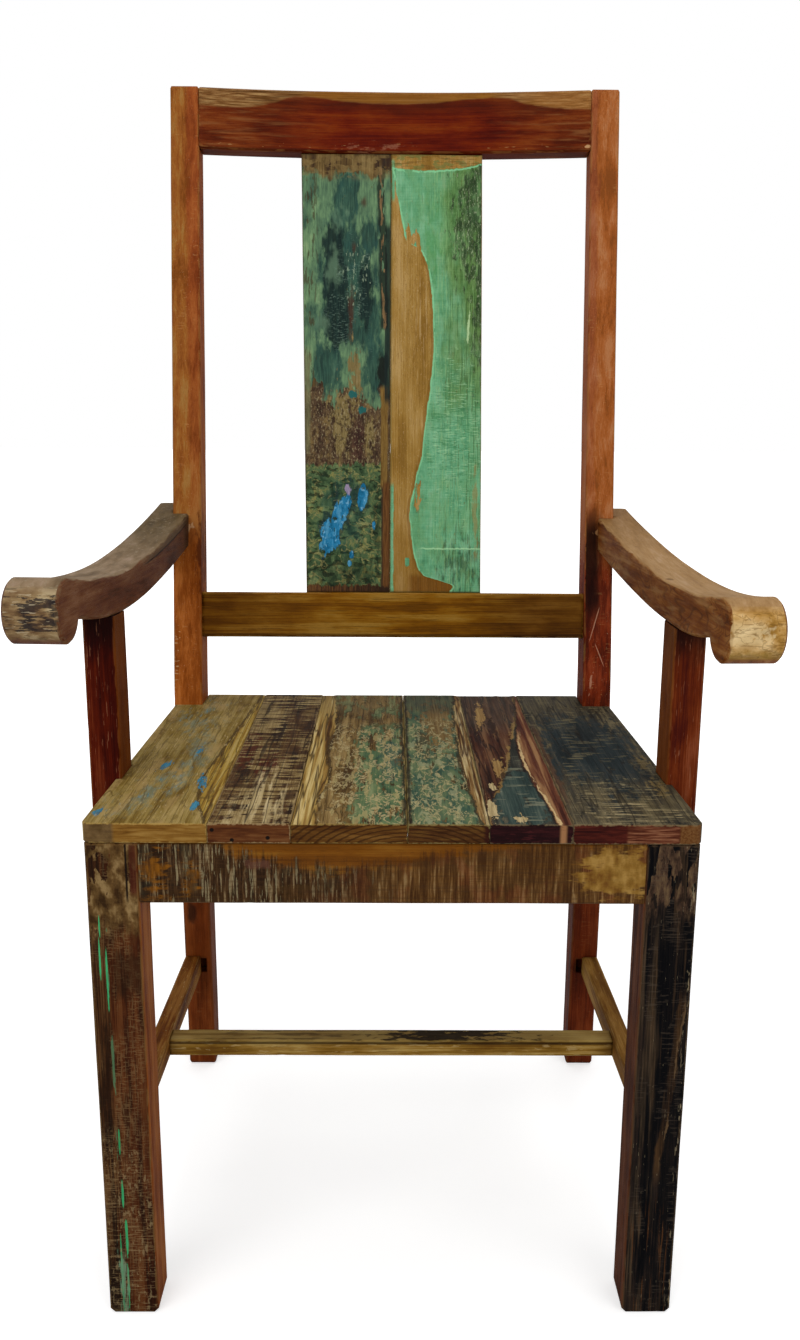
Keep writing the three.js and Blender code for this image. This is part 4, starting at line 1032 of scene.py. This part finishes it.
def hollow(mesh, finish):
    """Sinks the gouges into the upper face, deepest a little inside their drawn line."""
    across, away = finish.axes.col[1], finish.axes.col[0]
    for vertex in mesh.verts:
        if vertex.normal.z < upward:
            continue
        u = (vertex.co.dot(away) - finish.origin.dot(away)) / millimetre
        v = (vertex.co.dot(across) - finish.origin.dot(across)) / millimetre
        for points, side in finish.gouges:
            share = min(1, max(0, (v - line_at(points, u)) * side / gouge_slope))
            ridges = smooth_noise(Vector((u / gouge_length, v / gouge_width, 0)))
            sunk = gouge_least + gouge_swing * ridges
            vertex.co.z -= share * sunk * gouge_depth * millimetre


def wear(mesh, seed, chips):
    """Slow waves over the faces and small chips along the edges, with the edges marked for the paint."""
    mesh.normal_update()
    marks = mesh.verts.layers.float.new("edge")
    moves = []
    offset = UP * seed
    for vertex in mesh.verts:
        count = len(vertex.link_faces)
        mean = sum((face.normal for face in vertex.link_faces), Vector()) / max(1, count)
        sharp = min(1, max(0, (1 - mean.length) * edge_gain))
        vertex[marks] = sharp
        place = vertex.co / millimetre
        wave = smooth_noise(place / wave_size + offset) * wave_depth
        chip = max(0, smooth_noise(place / chip_size + offset) - chip_level) * chip_depth * sharp * chips
        moves.append(vertex.normal * (wave - chip) * millimetre)
    for vertex, move in zip(mesh.verts, moves):
        vertex.co += move
        vertex.co.z = max(0, vertex.co.z)


def dress(node, finish, spacing, chips, seed):
    """Puts a worn piece with a finish in a node's place."""
    mesh = refined(node, spacing)
    wear(mesh, seed, chips)
    hollow(mesh, finish)
    if "splat" in node:
        for vertex in mesh.verts:
            if abs(vertex.co.x - seam) < seam_reach * millimetre:
                vertex.co.x = seam + math.copysign(hair * millimetre, vertex.co.x - seam)
    bmesh.ops.dissolve_degenerate(mesh, dist=weld_distance * millimetre, edges=mesh.edges)
    data = bpy.data.meshes.new(node + "_worn")
    mesh.to_mesh(data)
    mesh.free()
    data.validate()
    data.shade_smooth()
    piece = bpy.data.objects.new(node + "_worn", data)
    bpy.context.scene.collection.objects.link(piece)
    piece.modifiers.new("Even normals", "WEIGHTED_NORMAL")
    data.materials.append(finish.material)
    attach(piece, "root")
    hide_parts(node)


seam = (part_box("left_splat_board")[1].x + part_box("right_splat_board")[0].x) / 2
slots = {part["node"]: part["material_slot"] for part in frame["record"]["subparts"]}
hidden = ("screw", "plug", "block", "rear_seat_rail")
for seed, (node, slot) in enumerate(sorted(slots.items())):
    finish = finishes[slot]
    if any(word in node for word in hidden):
        data = frame["nodes"][node].data
        data.materials.clear()
        data.materials.append(finish.material)
    else:
        fine_cut = "splat" in node or "seat_board" in node
        chips = splat_chips if "splat" in node else 1
        dress(node, finish, board_cell if fine_cut else cell, chips, seed * seed_spread)

# Camera

front_legs = [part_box("left_front_leg"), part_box("right_front_leg")]
middle = sum(corner.x for box in front_legs for corner in box) / 4
seat_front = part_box("seat_board_3")[0].y
eye_x = middle - eye_to_left * millimetre
eye_y = seat_front - eye_before_seat * millimetre
eye = Vector((eye_x, eye_y, eye_height * millimetre))
camera = bpy.data.objects.new("camera", bpy.data.cameras.new("camera"))
bpy.context.scene.collection.objects.link(camera)
camera.data.sensor_width = sensor_size
camera.data.lens = focal_length_pixels / image_height_pixels * sensor_size
turned = Matrix.Rotation(eye_yaw, 4, "Z") @ Matrix.Rotation(math.pi / 2 - eye_pitch, 4, "X")
camera.matrix_world = Matrix.Translation(eye) @ turned @ Matrix.Rotation(eye_roll, 4, "Z")
camera.data.clip_start = nearest_seen
bpy.context.scene.camera = camera

# Floor, background and light

floor_data = bpy.data.meshes.new("floor")
shape = bmesh.new()
bmesh.ops.create_grid(shape, x_segments=1, y_segments=1, size=floor_size)
shape.to_mesh(floor_data)
shape.free()
floor = bpy.data.objects.new("floor", floor_data)
bpy.context.scene.collection.objects.link(floor)
ground = bpy.data.materials.new("floor")
ground.use_nodes = True
tree = ground.node_tree
tree.nodes.clear()
diffuse = add("BsdfDiffuse", {"Color": floor_grey}, tree)
distance = add("VectorMath", {0: add("TexCoord", {}, tree).outputs["Object"]}, tree, operation="LENGTH")
reaches = {"From Min": near_reach, "From Max": far_reach, "To Min": near_glow}
fade = add("MapRange", {"Value": distance.outputs["Value"], **reaches}, tree)
seen = add("LightPath", {}, tree).outputs["Is Camera Ray"]
brightness = add("Math", {0: seen, 1: fade.outputs[0]}, tree, operation="MULTIPLY")
glow = add("Emission", {"Strength": brightness.outputs[0]}, tree)
both = add("AddShader", {0: diffuse.outputs[0], 1: glow.outputs[0]}, tree)
add("OutputMaterial", {"Surface": both.outputs[0]}, tree)
floor_data.materials.append(ground)

world = bpy.data.worlds.new("studio")
bpy.context.scene.world = world
world.use_nodes = True
tree = world.node_tree
seen = add("LightPath", {}, tree).outputs["Is Camera Ray"]
level = add("MapRange", {"Value": seen, "To Min": lit_from_around, "To Max": 1.0}, tree)
background = tree.nodes["Background"]
tree.links.new(level.outputs[0], background.inputs["Strength"])
background.inputs["Color"].default_value = (1, 1, 1, 1)

for name, (place, size, power) in lamps.items():
    lamp = bpy.data.objects.new(name, bpy.data.lights.new(name, "AREA"))
    lamp.data.shape = "SQUARE"
    lamp.data.size = size
    lamp.data.energy = power
    lamp.location = place
    lamp.rotation_euler = (aim - Vector(place)).to_track_quat("-Z", "Y").to_euler()
    bpy.context.scene.collection.objects.link(lamp)

bpy.context.scene.view_settings.view_transform = "Standard"

bpy.context.view_layer.update()
